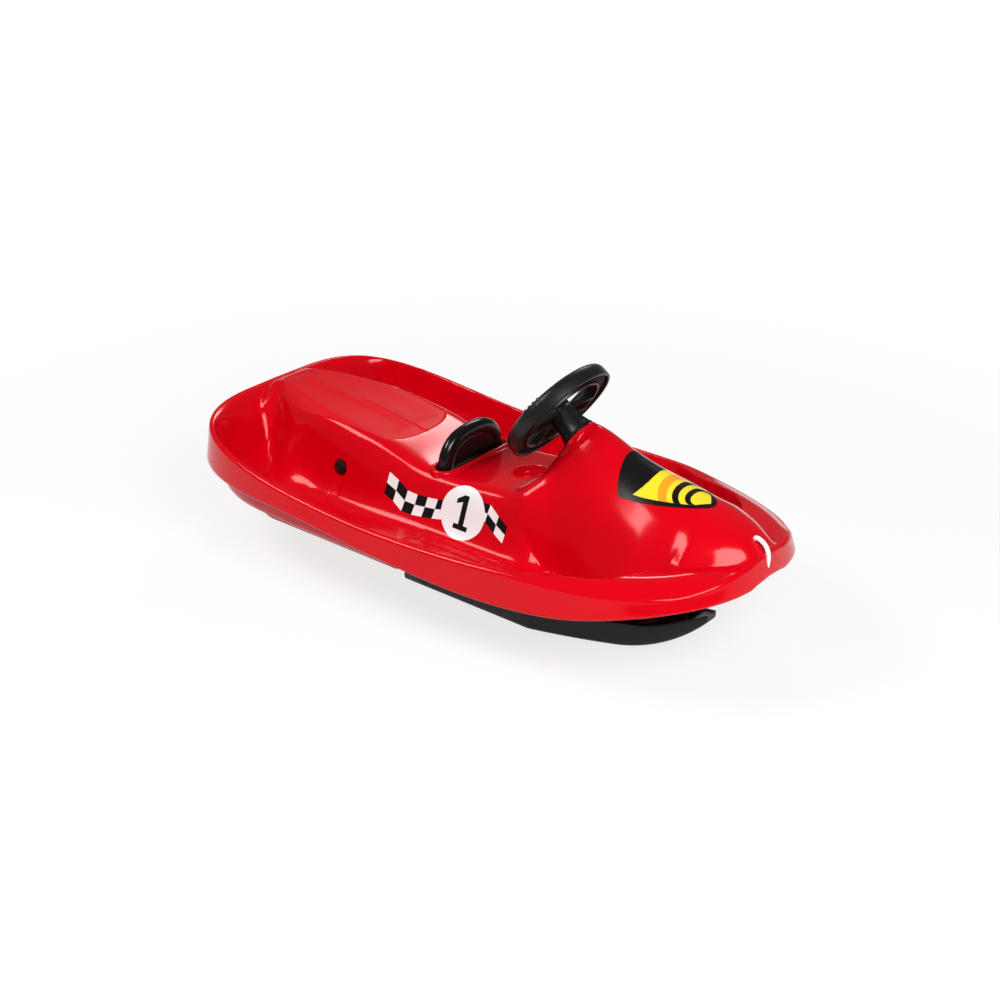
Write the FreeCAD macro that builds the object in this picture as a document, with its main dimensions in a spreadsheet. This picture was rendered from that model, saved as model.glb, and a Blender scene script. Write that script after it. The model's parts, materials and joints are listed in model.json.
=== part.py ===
import FreeCAD
import Part
import Sketcher
import math
import os
from FreeCAD import Placement, Rotation, Vector

doc = FreeCAD.newDocument("steering_sled")

# Driving sizes, in millimetres and degrees.
# X runs from tail to nose, Y to the rider's left, Z up from the ground.
SIZES = {
    # Hull plan: two half ovals that meet at the widest section.
    "hull_length": 1000,
    "hull_width": 530,
    "widest_from_tail": 400,
    "nose_fullness": 2.73,
    "tail_fullness": 3.91,
    # Rim, skirt and wall.
    "rim_height": 160,
    "tail_sheer": 60,
    "nose_sheer": 37,
    "sheer_overlap": 81,
    "rim_flat": 8,
    "rim_flat_nose": 56,
    "rim_slope_tail": 80,
    "rim_slope": 34,
    "wall": 3.5,
    "skirt_tail": 62,
    "skirt_rear_x": -170,
    "skirt_rear": 29,
    "skirt_front_x": 270,
    "skirt_front": 56,
    "skirt_nose": 35,
    # Footwell floor, and the troughs that rise from it to tail and nose.
    "floor_height": 108,
    "floor_rear_x": -340,
    "floor_rear": 124,
    "floor_front_x": 225,
    "floor_rise_x": 345,
    "floor_rise": 162,
    "trough_tail": 186,
    "trough_nose": 186,
    "trough_inset": 60,
    # Seat pedestal, deck and cone: height of the ridge at each station, and half width at half height.
    "seat_tail_x": -455,
    "seat_tail_z": 229,
    "seat_tail_half": 88,
    "seat_back_x": -405,
    "seat_back_z": 237,
    "seat_front_x": -180,
    "seat_front_z": 217,
    "seat_half": 107,
    "deck_x": -54,
    "deck_z": 192,
    "deck_half": 103,
    "deck_squareness": 9,
    "cone_squareness": 3.2,
    "cup_x": 68,
    "cup_z": 200,
    "cone_foot_x": 98,
    "cone_foot_z": 206,
    "cone_peak_x": 180,
    "cone_peak_z": 315,
    "cone_peak_half": 66,
    "cone_middle_x": 270,
    "cone_middle_z": 282,
    "cone_middle_half": 74,
    "cone_low_x": 386,
    "cone_low_z": 245,
    "cone_low_half": 90,
    "cone_end_x": 458,
    "cone_end_z": 217,
    "ridge_inset": 8,
    # Dished cup in the deck.
    "cup_diameter": 56,
    "cup_depth": 11,
    # Rear sole that slides on the ground.
    "sole_front_x": -125,
    "sole_rear_x": -480,
    "sole_width": 200,
    "sole_corner": 70,
    "sole_window_width": 90,
    "sole_window_drop": 20,
    # Steering wheel and column.
    "column_angle": 35,
    "wheel_x": 117,
    "wheel_z": 320,
    "wheel_diameter": 188,
    "grip_width": 27,
    "grip_depth": 27,
    "grip_wall": 4,
    "spoke_width": 30,
    "spoke_thickness": 9,
    "hub_small": 46,
    "hub_large": 56,
    "hub_front": 4,
    "face_distance": 54,
    "face_diameter": 60,
    "face_plate": 6,
    "face_depth": 26,
    "face_pocket": 20,
    "face_gap": 0.3,
    "rod_diameter": 14,
    "rod_top": 14,
    "rod_length": 132,
    "rod_bend": 16,
    "crank_length": 60,
    "crank_diameter": 10,
    "ball_diameter": 16,
    "sleeve_wall": 6,
    "sleeve_end": 104,
    "bush_wall": 4,
    "bush_length": 18,
    "flange_thickness": 2.5,
    "flange_extra": 5,
    "running_gap": 0.06,
    "washer_thickness": 1.5,
    "clip_thickness": 1.6,
    "bolt_diameter": 6,
    "bolt_head": 12,
    "bolt_head_height": 4,
    "wheel_bolt_length": 28,
    "cap_diameter": 42,
    "cap_height": 9,
    "cap_wall": 2.5,
    # Front ski and its mast.
    "tiller_reach": 92,
    "slot_play": 1.2,
    "tiller_thickness": 13,
    "tiller_wall": 8,
    "mast_diameter": 20,
    "mast_collar": 34,
    "mast_foot": 84,
    "mast_foot_thickness": 5,
    "mast_bolt_circle": 60,
    "mast_sleeve_low": 60,
    "mast_sleeve_high": 174,
    "tiller_room_half": 48,
    "tiller_room_reach": 40,
    "ski_rear_x": -90,
    "ski_length": 500,
    "ski_width": 244,
    "ski_height": 40,
    "ski_sole": 7,
    "ski_wall": 5,
    "ski_taper_length": 250,
    "ski_taper_bulge": 10,
    "ski_tip_width": 24,
    "ski_tip_thickness": 12,
    "ski_bend_length": 122,
    "ski_bend_rise": 56,
    "ski_boss_top": 34,
    "ski_boss_margin": 4,
    "ski_bolt_seat": 24,
    "keel_width": 12,
    "keel_spacing": 130,
    "keel_height": 5,
    # Brake lever.
    "axle_x": -236,
    "axle_z": 156,
    "axle_diameter": 10,
    "pivot_tube_wall": 3,
    "axle_pad_diameter": 38,
    "axle_pad_length": 14,
    "axle_recess": 6,
    "end_gap": 0.5,
    "handle_radius": 186,
    "handle_width": 150,
    "handle_rise": 64,
    "handle_web": 8,
    "handle_roll": 20,
    "stem_width": 60,
    "stem_depth": 68,
    "stem_lug": 22,
    "brake_lift": 16,
    "arm_thickness": 4,
    "arm_height": 16,
    "claw_thickness": 4,
    "claw_width": 60,
    "claw_reach": 171,
    "claw_angle": 60.6,
    "claw_tooth": 12,
    "slot_margin": 5,
    "claw_slot_margin": 15,
    "lip_height": 4,
    "lip_width": 5,
    "lip_depth": 8,
    "axle_cap_diameter": 28,
    "axle_cap_length": 9,
    "axle_cap_wall": 4,
    # Tow cord.
    "cord_diameter": 7,
    "cord_inset": 8,
    "cord_span": 22,
    "cord_gap": 0.5,
    "knot_diameter": 15,
}

sheet = doc.addObject("Spreadsheet::Sheet", "Sizes")
for row, (name, number) in enumerate(SIZES.items(), start=1):
    sheet.set("A%d" % row, name)
    sheet.set("B%d" % row, str(number))
    sheet.setAlias("B%d" % row, name)
doc.recompute()


class Sizes:
    """The sheet's values, read back by name."""


size = Sizes()
for name in SIZES:
    setattr(size, name, float(sheet.get(name)))

parts = []


def finished(item, label, placement=None):
    """Name a sub-part, put it in its place and keep it for the export."""
    item.Label = label
    if placement is not None:
        item.Placement = placement
    parts.append(item)
    return item


def bind(item, **expressions):
    for name, expression in expressions.items():
        item.setExpression(name, expression)
    return item


def value(expression):
    if not isinstance(expression, str):
        return expression
    return float(sheet.evalExpression(expression))


def sheet_expression(text):
    """Write the sheet's name before each of its aliases; a worked-out number stays a number."""
    if not isinstance(text, str):
        return "%.4f" % text
    words = []
    for word in text.split():
        words.append("Sizes." + word if word in SIZES else word)
    return " ".join(words)


def cylinder(name, radius, height, placement=None):
    item = doc.addObject("Part::Cylinder", name)
    bind(item, Radius=sheet_expression(radius), Height=sheet_expression(height))
    if placement is not None:
        item.Placement = placement
    return item


def block(name, length, width, height, placement=None):
    item = doc.addObject("Part::Box", name)
    bind(item, Length=sheet_expression(length), Width=sheet_expression(width),
         Height=sheet_expression(height))
    if placement is not None:
        item.Placement = placement
    return item


def boolean(kind, name, base, tool):
    item = doc.addObject("Part::" + kind, name)
    item.Base = base
    item.Tool = tool
    return item


def joined(name, items):
    item = doc.addObject("Part::MultiFuse", name)
    item.Shapes = items
    return item


def free_shape(name, shape):
    item = doc.addObject("Part::Feature", name)
    item.Shape = shape
    return item


def origin_plane(body, role):
    return next(plane for plane in body.Origin.OriginFeatures if plane.Role == role)


def polygon(sketch, corners):
    """Draw a closed polygon whose corners are pairs of expressions bound to the sheet."""
    points = [Vector(value(across), value(along), 0) for across, along in corners]
    count = len(points)
    for index, start in enumerate(points):
        sketch.addGeometry(Part.LineSegment(start, points[(index + 1) % count]), False)
    for index in range(count):
        sketch.addConstraint(Sketcher.Constraint("Coincident", index, 2, (index + 1) % count, 1))
    for index, corner in enumerate(corners):
        for kind, expression, number in zip(("DistanceX", "DistanceY"), corner, points[index]):
            constraint = sketch.addConstraint(Sketcher.Constraint(kind, -1, 1, index, 1, number))
            sketch.setExpression("Constraints[%d]" % constraint, sheet_expression(expression))


def sketched(body, role, corners):
    sketch = body.newObject("Sketcher::SketchObject", body.Name + "_sketch")
    sketch.AttachmentSupport = (origin_plane(body, role), "")
    sketch.MapMode = "FlatFace"
    polygon(sketch, corners)
    return sketch


def turned(name, corners):
    """Turn a profile of (radius, height) corners about the body's Z axis."""
    body = doc.addObject("PartDesign::Body", name)
    sketch = sketched(body, "XZ_Plane", corners)
    revolution = body.newObject("PartDesign::Revolution", name + "_revolution")
    revolution.Profile = sketch
    revolution.ReferenceAxis = (sketch, ["V_Axis"])
    revolution.Angle = 360
    return body


def padded(name, role, corners, length):
    """Pad an outline by a length, half to each side of its plane."""
    body = doc.addObject("PartDesign::Body", name)
    sketch = sketched(body, role, corners)
    pad = body.newObject("PartDesign::Pad", name + "_pad")
    pad.Profile = sketch
    pad.Midplane = True
    pad.setExpression("Length", sheet_expression(length))
    return body


# Hull form

TAIL_X = -size.hull_length / 2
NOSE_X = size.hull_length / 2
WIDEST_X = TAIL_X + size.widest_from_tail
NOSE_REACH = NOSE_X - WIDEST_X
HALF_WIDTH = size.hull_width / 2
GRID_STEP = 13.0
GRID_MARGIN = 24.0


def smooth(low, high, number):
    """Rise from 0 to 1 between two values with level ends."""
    share = min(max((number - low) / (high - low), 0.0), 1.0)
    return share * share * (3 - 2 * share)


def through(stations, x):
    """A smooth curve through (x, height) stations, with no overshoot between them."""
    if x <= stations[0][0]:
        return stations[0][1]
    if x >= stations[-1][0]:
        return stations[-1][1]
    slopes = []
    for (x0, z0), (x1, z1) in zip(stations, stations[1:]):
        slopes.append((z1 - z0) / (x1 - x0))
    tangents = [0.0]
    for before, after in zip(slopes, slopes[1:]):
        tangents.append(2 * before * after / (before + after) if before * after > 0 else 0.0)
    tangents.append(0.0)
    index = max(i for i in range(len(slopes)) if x >= stations[i][0])
    (x0, z0), (x1, z1) = stations[index], stations[index + 1]
    run = x1 - x0
    share = (x - x0) / run
    back = 1 - share
    level = z0 * (1 + 2 * share) * back ** 2 + z1 * (3 - 2 * share) * share ** 2
    return level + run * (tangents[index] * share * back ** 2 - tangents[index + 1] * share ** 2 * back)


def plan_half(x):
    """Reach and fullness of the half oval that holds x."""
    if x > WIDEST_X:
        return NOSE_REACH, size.nose_fullness
    return size.widest_from_tail, size.tail_fullness


def rim_distance(x, y):
    """Distance in from the plan outline, to first order."""
    reach, power = plan_half(x)
    along = abs(x - WIDEST_X) / reach
    across = abs(y) / HALF_WIDTH
    radius = max((along ** power + across ** power) ** (1 / power), 1e-6)
    slope_along = (along / radius) ** (power - 1) / reach
    slope_across = (across / radius) ** (power - 1) / HALF_WIDTH
    return (1 - radius) / math.hypot(slope_along, slope_across)


def plan_outline(inset):
    """The hull's plan as a closed curve, moved in from the rim by a distance."""
    points = []
    steps = 64
    for step in range(steps):
        turn = 2 * math.pi * step / steps
        cosine, sine = math.cos(turn), math.sin(turn)
        reach, power = plan_half(WIDEST_X + cosine)
        radius = (abs(cosine) ** power + abs(sine) ** power) ** (-1 / power)
        x = WIDEST_X + (reach - inset) * radius * cosine
        points.append(Vector(x, (HALF_WIDTH - inset) * radius * sine, 0))
    curve = Part.BSplineCurve()
    curve.interpolate(points, PeriodicFlag=True)
    return Part.Face(Part.Wire(curve.toShape()))


def rim_top(x):
    tail = max(WIDEST_X + size.sheer_overlap - x, 0) / (size.widest_from_tail + size.sheer_overlap)
    nose = max(x - WIDEST_X, 0) / NOSE_REACH
    return size.rim_height + size.tail_sheer * tail ** 2 + size.nose_sheer * nose ** 2


def rim_flat(x):
    """Width of the rim's level top."""
    return through([(size.cone_peak_x, size.rim_flat), (NOSE_X, size.rim_flat_nose)], x)


def rim_slope(x):
    """Width of the slope from the rim's level top down to the floor."""
    return through([(TAIL_X, size.rim_slope_tail), (WIDEST_X, size.rim_slope)], x)


def floor_top(x):
    return through([
        (TAIL_X + size.trough_inset, size.trough_tail),
        (size.floor_rear_x, size.floor_rear),
        (size.seat_front_x, size.floor_height),
        (size.floor_front_x, size.floor_height),
        (size.floor_rise_x, size.floor_rise),
        (NOSE_X - size.trough_inset, size.trough_nose)], x)


def ridge_top(x):
    return through([
        (TAIL_X + size.ridge_inset, size.trough_tail),
        (size.seat_tail_x, size.seat_tail_z),
        (size.seat_back_x, size.seat_back_z),
        (size.seat_front_x, size.seat_front_z),
        (size.deck_x, size.deck_z),
        (size.cup_x, size.cup_z),
        (size.cone_foot_x, size.cone_foot_z),
        (size.cone_peak_x, size.cone_peak_z),
        (size.cone_middle_x, size.cone_middle_z),
        (size.cone_low_x, size.cone_low_z),
        (size.cone_end_x, size.cone_end_z),
        (NOSE_X - size.ridge_inset, size.trough_nose)], x)


def ridge_half(x):
    return through([
        (TAIL_X + size.ridge_inset, size.seat_tail_half / 2),
        (size.seat_tail_x, size.seat_tail_half),
        (size.seat_back_x, size.seat_half),
        (size.seat_front_x, size.seat_half),
        (size.deck_x, size.deck_half),
        (size.cone_foot_x, size.deck_half),
        (size.cone_peak_x, size.cone_peak_half),
        (size.cone_middle_x, size.cone_middle_half),
        (size.cone_low_x, size.cone_low_half)], x)


def ridge_power(x):
    """How square the ridge's section is: boxy at the seat and deck, round at the cone."""
    return through([(size.cone_foot_x, size.deck_squareness), (size.cone_peak_x, size.cone_squareness)], x)


def skirt_depth(x):
    return through([
        (TAIL_X, size.skirt_tail),
        (size.skirt_rear_x, size.skirt_rear),
        (size.skirt_front_x, size.skirt_front),
        (NOSE_X, size.skirt_nose)], x)


def hull_top(x, y):
    """Height of the hull's upper face."""
    low = floor_top(x)
    flat = rim_flat(x)
    bowl = (rim_top(x) - low) * (1 - smooth(flat, flat + rim_slope(x), rim_distance(x, y)))
    ridge = (ridge_top(x) - low) / (1 + (abs(y) / ridge_half(x)) ** ridge_power(x))
    blend = 4
    return low + (max(bowl, 0) ** blend + max(ridge, 0) ** blend) ** (1 / blend)


def hull_bottom(x, y):
    """Height of the hull's lower face, one wall below the upper face, square to it."""
    step = 1.0
    slope_x = (hull_top(x + step, y) - hull_top(x - step, y)) / (2 * step)
    slope_y = (hull_top(x, y + step) - hull_top(x, y - step)) / (2 * step)
    steepest = 2.5
    slope = min(math.hypot(slope_x, slope_y), steepest)
    return hull_top(x, y) - size.wall * math.hypot(1, slope)


def hull_face(height):
    """A smooth face through the heights on an even grid that covers the plan."""
    columns = int(2 * round((size.hull_length / 2 + GRID_MARGIN) / GRID_STEP)) + 1
    rows = int(2 * round((size.hull_width / 2 + GRID_MARGIN) / GRID_STEP)) + 1
    points = []
    for i in range(columns):
        x = (i / (columns - 1) - 0.5) * (size.hull_length + 2 * GRID_MARGIN)
        line = []
        for j in range(rows):
            y = (j / (rows - 1) - 0.5) * (size.hull_width + 2 * GRID_MARGIN)
            line.append(Vector(x, y, height(x, y)))
        points.append(line)
    surface = Part.BSplineSurface()
    surface.interpolate(points)
    return surface.toShape()


# Column frame: origin at the wheel's centre, Z towards the rider, Y up in the wheel's plane.
tilt = math.radians(size.column_angle)
column_x = Vector(0, -1, 0)
column_y = Vector(math.sin(tilt), 0, math.cos(tilt))
column_z = Vector(-math.cos(tilt), 0, math.sin(tilt))
COLUMN = Placement(Vector(size.wheel_x, 0, size.wheel_z), Rotation(column_x, column_y, column_z, "ZYX"))


def on_column(distance, x=0, y=0):
    """A point in the column frame, a distance from the wheel towards the cone."""
    return COLUMN.multVec(Vector(x, y, -distance))


crank_end = on_column(size.rod_length, 0, -size.crank_length)
MAST_X = crank_end.x + size.tiller_reach
BALL_Z = crank_end.z


def tube_shape(bottom, direction, radius, length):
    return Part.makeCylinder(radius, length, bottom, direction)


def box_shape(low, high):
    return Part.makeBox(high.x - low.x, high.y - low.y, high.z - low.z, low)


def rounded_plate(x_low, x_high, width, corner, z_low, z_high):
    """A plate with its two rear corners rounded."""
    plate = box_shape(Vector(x_low, -width / 2, z_low), Vector(x_high, width / 2, z_high))
    rear = [edge for edge in plate.Edges if edge.BoundBox.XMax < x_low + 1 and edge.BoundBox.ZLength > 1]
    return plate.makeFillet(corner, rear)


def side_reach(z, x):
    """Half width of the pedestal's wall at a height."""
    low = floor_top(x)
    share = (z - low) / (ridge_top(x) - low)
    return ridge_half(x) * (1 / share - 1) ** (1 / ridge_power(x))


AXLE_WALL = side_reach(size.axle_z, size.axle_x)
handle_x = size.axle_x + math.sqrt(size.handle_radius ** 2 - (size.deck_z - size.axle_z) ** 2)
slot_length = size.handle_roll + 2 * size.slot_margin
slot_width = size.handle_width + 2 * size.slot_margin
claw_turn = math.radians(size.claw_angle)
claw_tip = Vector(size.axle_x - size.claw_reach * math.cos(claw_turn), 0,
                  size.axle_z - size.claw_reach * math.sin(claw_turn))
lift = math.radians(size.brake_lift)
claw_low_x = size.axle_x - size.claw_reach * math.cos(claw_turn + lift)
claw_slot_half = size.claw_width / 2 + size.slot_margin
cord_front_x = NOSE_X - size.cord_inset
cord_rear_x = cord_front_x - size.cord_span
cord_room = size.cord_diameter / 2 + size.cord_gap
bush_outer = size.rod_diameter / 2 + size.bush_wall
mast_bush_outer = size.mast_diameter / 2 + size.bush_wall


def hull_shell():
    """The one moulding: shell and skirt, sole, sleeves and ribs, with its holes cut last."""
    deep = size.hull_length
    up = Vector(0, 0, 1)
    drop = Vector(0, 0, -deep)
    start = Vector(0, 0, -deep / 2)
    rise = Vector(0, 0, deep)
    plan = plan_outline(0).translated(start).extrude(rise)
    inner_plan = plan_outline(size.wall).translated(start).extrude(rise)
    lower = hull_face(hull_bottom)
    envelope = plan.common(hull_face(hull_top).extrude(drop))
    under = lower.translated(Vector(0, 0, size.wall / 2)).extrude(drop)
    shell = envelope.cut(inner_plan.common(lower.extrude(drop)))
    # The skirt's lower edge follows the rim at its own depth.
    edge = []
    stations = 33
    for step in range(stations):
        x = TAIL_X - GRID_MARGIN + (size.hull_length + 2 * GRID_MARGIN) * step / (stations - 1)
        edge.append(Vector(x, -size.hull_width, rim_top(x) - skirt_depth(x)))
    line = Part.BSplineCurve()
    line.interpolate(edge)
    below_skirt = line.toShape().extrude(drop).extrude(Vector(0, 2 * size.hull_width, 0))
    keep = plan_outline(1.5 * size.wall).translated(start).extrude(rise)
    shell = shell.cut(below_skirt.cut(keep))
    # Sole: a hollow tray under the tail, with a window in front for the brake's arms.
    above = size.cone_peak_z
    sole = rounded_plate(size.sole_rear_x, size.sole_front_x, size.sole_width, size.sole_corner, 0, above)
    hollow = rounded_plate(size.sole_rear_x + size.wall, size.sole_front_x - size.wall,
                           size.sole_width - 2 * size.wall, size.sole_corner - size.wall,
                           size.wall, above + size.wall)
    window = box_shape(Vector(size.sole_front_x - 2 * size.wall, -size.sole_window_width / 2,
                              size.floor_height - size.sole_window_drop),
                       Vector(size.sole_front_x + 2 * size.wall, size.sole_window_width / 2, above))
    pieces = [sole.cut(hollow).cut(window).common(under)]
    # Cone face: a plate on a collar that is let into the cone, with the column's sleeve behind it.
    away = -column_z
    face_radius = size.face_diameter / 2
    collar_radius = face_radius + size.wall
    collar = tube_shape(on_column(size.face_distance), away, collar_radius, size.face_depth)
    behind = tube_shape(on_column(size.face_distance + size.face_plate), away, face_radius, size.face_depth)
    front = tube_shape(on_column(size.face_distance - size.face_pocket), away, collar_radius,
                       size.face_pocket + size.face_plate)
    sleeve = tube_shape(on_column(size.face_distance), away, bush_outer + size.sleeve_wall,
                        size.sleeve_end - size.face_distance)
    pieces += [collar.cut(behind), front.common(envelope), sleeve]
    # The mast's upright sleeve hangs from a cross rib inside the cone.
    mast_low = Vector(MAST_X, 0, size.mast_sleeve_low)
    mast_length = size.mast_sleeve_high - size.mast_sleeve_low
    tower = tube_shape(mast_low, up, mast_bush_outer + size.sleeve_wall, mast_length)
    cross = box_shape(Vector(MAST_X - size.wall / 2, -size.sole_width / 2, size.floor_height - size.wall),
                      Vector(MAST_X + size.wall / 2, size.sole_width / 2, above)).common(under)
    room = box_shape(Vector(MAST_X - size.tiller_room_reach, -size.tiller_room_half, size.mast_sleeve_high),
                     Vector(MAST_X + size.tiller_room_reach, size.tiller_room_half,
                            BALL_Z + size.tiller_room_reach))
    pieces += [tower, cross.cut(room)]
    # Cup under the deck and the lip round the brake slot.
    cup_floor = hull_top(size.cup_x, 0) - size.cup_depth
    cup = tube_shape(Vector(size.cup_x, 0, cup_floor - size.wall), up, size.cup_diameter / 2 + size.wall,
                     size.cup_depth + size.wall)
    lip = box_shape(Vector(handle_x - slot_length / 2 - size.lip_width, -slot_width / 2 - size.lip_width,
                           size.deck_z - size.lip_depth),
                    Vector(handle_x + slot_length / 2 + size.lip_width, slot_width / 2 + size.lip_width,
                           size.deck_z + size.lip_height))
    pieces += [cup.common(under), lip]
    # Pads inside the pedestal's walls, where the brake axle's ends and caps are let in.
    for side in (-1, 1):
        pad = tube_shape(Vector(size.axle_x, side * (AXLE_WALL - size.axle_pad_length), size.axle_z),
                         Vector(0, side, 0), size.axle_pad_diameter / 2, 2 * size.axle_pad_length)
        pieces.append(pad.common(under))
    shell = shell.fuse(pieces)
    # Holes: hub pocket, column, mast, brake slot, axle, claw slot, cup and cord.
    holes = [
        tube_shape(on_column(-size.wheel_diameter), away, face_radius,
                   size.wheel_diameter + size.face_distance),
        tube_shape(on_column(0), away, bush_outer, 2 * size.sleeve_end),
        tube_shape(mast_low - up, up, mast_bush_outer, mast_length + 2),
        box_shape(Vector(handle_x - slot_length / 2, -slot_width / 2, size.deck_z - size.stem_depth),
                  Vector(handle_x + slot_length / 2, slot_width / 2, size.deck_z + size.stem_depth)),
        tube_shape(Vector(size.axle_x, -AXLE_WALL, size.axle_z), Vector(0, 1, 0), size.axle_diameter / 2,
                   2 * AXLE_WALL),
        box_shape(Vector(claw_tip.x - size.claw_slot_margin, -claw_slot_half, -size.wall),
                  Vector(claw_low_x + size.claw_slot_margin, claw_slot_half, 2 * size.wall)),
        tube_shape(Vector(size.cup_x, 0, cup_floor), up, size.cup_diameter / 2, size.cup_diameter),
        tube_shape(Vector(cord_rear_x, 0, size.floor_height), up, cord_room, size.rim_height),
        box_shape(Vector(cord_front_x - cord_room, -cord_room, size.floor_height),
                  Vector(NOSE_X + size.wall, cord_room, above)),
    ]
    for side in (-1, 1):
        holes.append(tube_shape(Vector(size.axle_x, side * (AXLE_WALL - size.axle_recess), size.axle_z),
                                Vector(0, side, 0), size.axle_cap_diameter / 2 + size.end_gap,
                                size.axle_pad_diameter))
    for hole in holes:
        shell = shell.cut(hole)
    return shell


finished(free_shape("hull_shell", hull_shell()), "hull_shell")

# Steering wheel, rod and their bearings, in the column frame

ROD = "rod_diameter / 2"
ROD_BORE = "rod_diameter / 2 + running_gap"
BUSH = "rod_diameter / 2 + bush_wall"
BUSH_FLANGE = "rod_diameter / 2 + bush_wall + flange_extra"


def flanged_bush(name, bore, outside, flange, face, end, rim):
    """A plain bearing with a flange from face to rim, and its body from face to end."""
    return turned(name, [
        (bore, rim), (flange, rim), (flange, face), (outside, face), (outside, end), (bore, end)])


def ring(name, inside, outside, low, high):
    return turned(name, [(inside, low), (outside, low), (outside, high), (inside, high)])


def steering_wheel():
    """Hollow-backed rim, three spokes and a conical hub bored for the rod."""
    outer = "wheel_diameter / 2"
    inner = "wheel_diameter / 2 - grip_width"
    front = "grip_depth / 2"
    back = "- grip_depth / 2"
    bevel = "grip_depth / 4"
    groove = front + " - grip_wall - " + bevel
    rim = turned("wheel_rim", [
        (inner + " + " + bevel, front),
        (outer + " - " + bevel, front),
        (outer, front + " - " + bevel),
        (outer, back + " + " + bevel),
        (outer + " - grip_wall", back),
        (outer + " - grip_wall - 1", groove),
        (inner + " + grip_wall + 1", groove),
        (inner + " + grip_wall", back),
        (inner, back + " + " + bevel),
        (inner, front + " - " + bevel)])
    hub_end = size.face_distance - size.flange_thickness - size.face_gap
    hub = doc.addObject("Part::Cone", "wheel_hub")
    bind(hub, Radius1="Sizes.hub_large / 2", Radius2="Sizes.hub_small / 2",
         Height="Sizes.face_distance - Sizes.flange_thickness - Sizes.face_gap - Sizes.hub_front")
    hub.Placement.Base = Vector(0, 0, -hub_end)
    pieces = [rim, hub]
    for index, turn in enumerate((180, 0, 270)):
        spoke = block("wheel_spoke_%d" % index, "wheel_diameter / 2 - grip_width + 1", "spoke_width",
                      "spoke_thickness")
        corner = Vector(0, -size.spoke_width / 2, -size.hub_front - size.spoke_thickness)
        turned_by = Rotation(Vector(0, 0, 1), turn)
        spoke.Placement = Placement(turned_by.multVec(corner), turned_by)
        pieces.append(spoke)
    bore = cylinder("wheel_bore", ROD, "face_distance",
                    Placement(Vector(0, 0, -size.face_distance - size.rod_top), Rotation()))
    bolt_way = cylinder("wheel_bolt_way", "bolt_diameter / 2", "3 * rod_top",
                        Placement(Vector(0, 0, -2 * size.rod_top), Rotation()))
    drilled = boolean("Cut", "wheel_drilled", joined("wheel_body", pieces), bore)
    return boolean("Cut", "wheel_bored", drilled, bolt_way)


def steering_rod():
    """A rod bent down at its lower end into a crank that ends in a ball."""
    straight = cylinder("rod_straight", ROD, "rod_length - rod_bend - rod_top")
    straight.Placement.Base = Vector(0, 0, -size.rod_length + size.rod_bend)
    bend = doc.addObject("Part::Torus", "rod_bend_arc")
    bind(bend, Radius1="Sizes.rod_bend", Radius2="Sizes.rod_diameter / 2")
    bend.Angle3 = 90
    bend.Placement = Placement(Vector(0, -size.rod_bend, -size.rod_length + size.rod_bend),
                               Rotation(Vector(0, 1, 0), Vector(0, 0, -1), Vector(-1, 0, 0), "XYZ"))
    crank = cylinder("rod_crank", "crank_diameter / 2", "crank_length - rod_bend",
                     Placement(Vector(0, -size.rod_bend, -size.rod_length), Rotation(Vector(1, 0, 0), 90)))
    ball = doc.addObject("Part::Sphere", "rod_ball")
    bind(ball, Radius="Sizes.ball_diameter / 2")
    ball.Placement.Base = Vector(0, -size.crank_length, -size.rod_length)
    thread = cylinder("rod_thread", "bolt_diameter / 2", "wheel_bolt_length",
                      Placement(Vector(0, 0, -size.hub_front - size.wheel_bolt_length), Rotation()))
    return boolean("Cut", "rod_tapped", joined("rod_body", [straight, bend, crank, ball]), thread)


def wheel_bolt():
    head = cylinder("wheel_bolt_head", "bolt_head / 2", "bolt_head_height")
    head.Placement.Base = Vector(0, 0, -size.hub_front)
    shank = cylinder("wheel_bolt_shank", "bolt_diameter / 2", "wheel_bolt_length")
    shank.Placement.Base = Vector(0, 0, -size.hub_front - size.wheel_bolt_length)
    return joined("wheel_bolt_body", [head, shank])


def wheel_cap():
    outside = cylinder("wheel_cap_outside", "cap_diameter / 2", "cap_height")
    inside = cylinder("wheel_cap_inside", "cap_diameter / 2 - cap_wall", "cap_height - cap_wall")
    return boolean("Cut", "wheel_cap_shell", outside, inside)


finished(steering_wheel(), "steering_wheel", COLUMN)
finished(steering_rod(), "steering_rod", COLUMN)
finished(wheel_bolt(), "wheel_bolt", COLUMN)
finished(wheel_cap(), "wheel_cap", Placement(on_column(size.hub_front), COLUMN.Rotation))
finished(flanged_bush("column_upper_bush", ROD_BORE, BUSH, BUSH_FLANGE, "- face_distance",
                      "- face_distance - bush_length", "- face_distance + flange_thickness"),
         "column_upper_bush", COLUMN)
finished(flanged_bush("column_lower_bush", ROD_BORE, BUSH, BUSH_FLANGE, "- sleeve_end",
                      "- sleeve_end + bush_length", "- sleeve_end - flange_thickness"),
         "column_lower_bush", COLUMN)
WASHER = "- sleeve_end - flange_thickness - face_gap"
CLIP = WASHER + " - washer_thickness"
finished(ring("rod_washer", ROD, BUSH_FLANGE, CLIP, WASHER), "rod_washer", COLUMN)
finished(ring("rod_clip", ROD, BUSH, CLIP + " - clip_thickness", CLIP), "rod_clip", COLUMN)

# Front ski with its mast and tiller

MAST = Placement(Vector(MAST_X, 0, 0), Rotation())
FOOT_TOP = size.ski_boss_top + size.mast_foot_thickness
bolt_places = []
for quarter in range(4):
    turn = math.radians(45 + 90 * quarter)
    bolt_places.append(Vector(MAST_X + size.mast_bolt_circle / 2 * math.cos(turn),
                              size.mast_bolt_circle / 2 * math.sin(turn), 0))


SKI_TIP_X = size.ski_rear_x + size.ski_length
SKI_TOP = size.keel_height + size.ski_height


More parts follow.
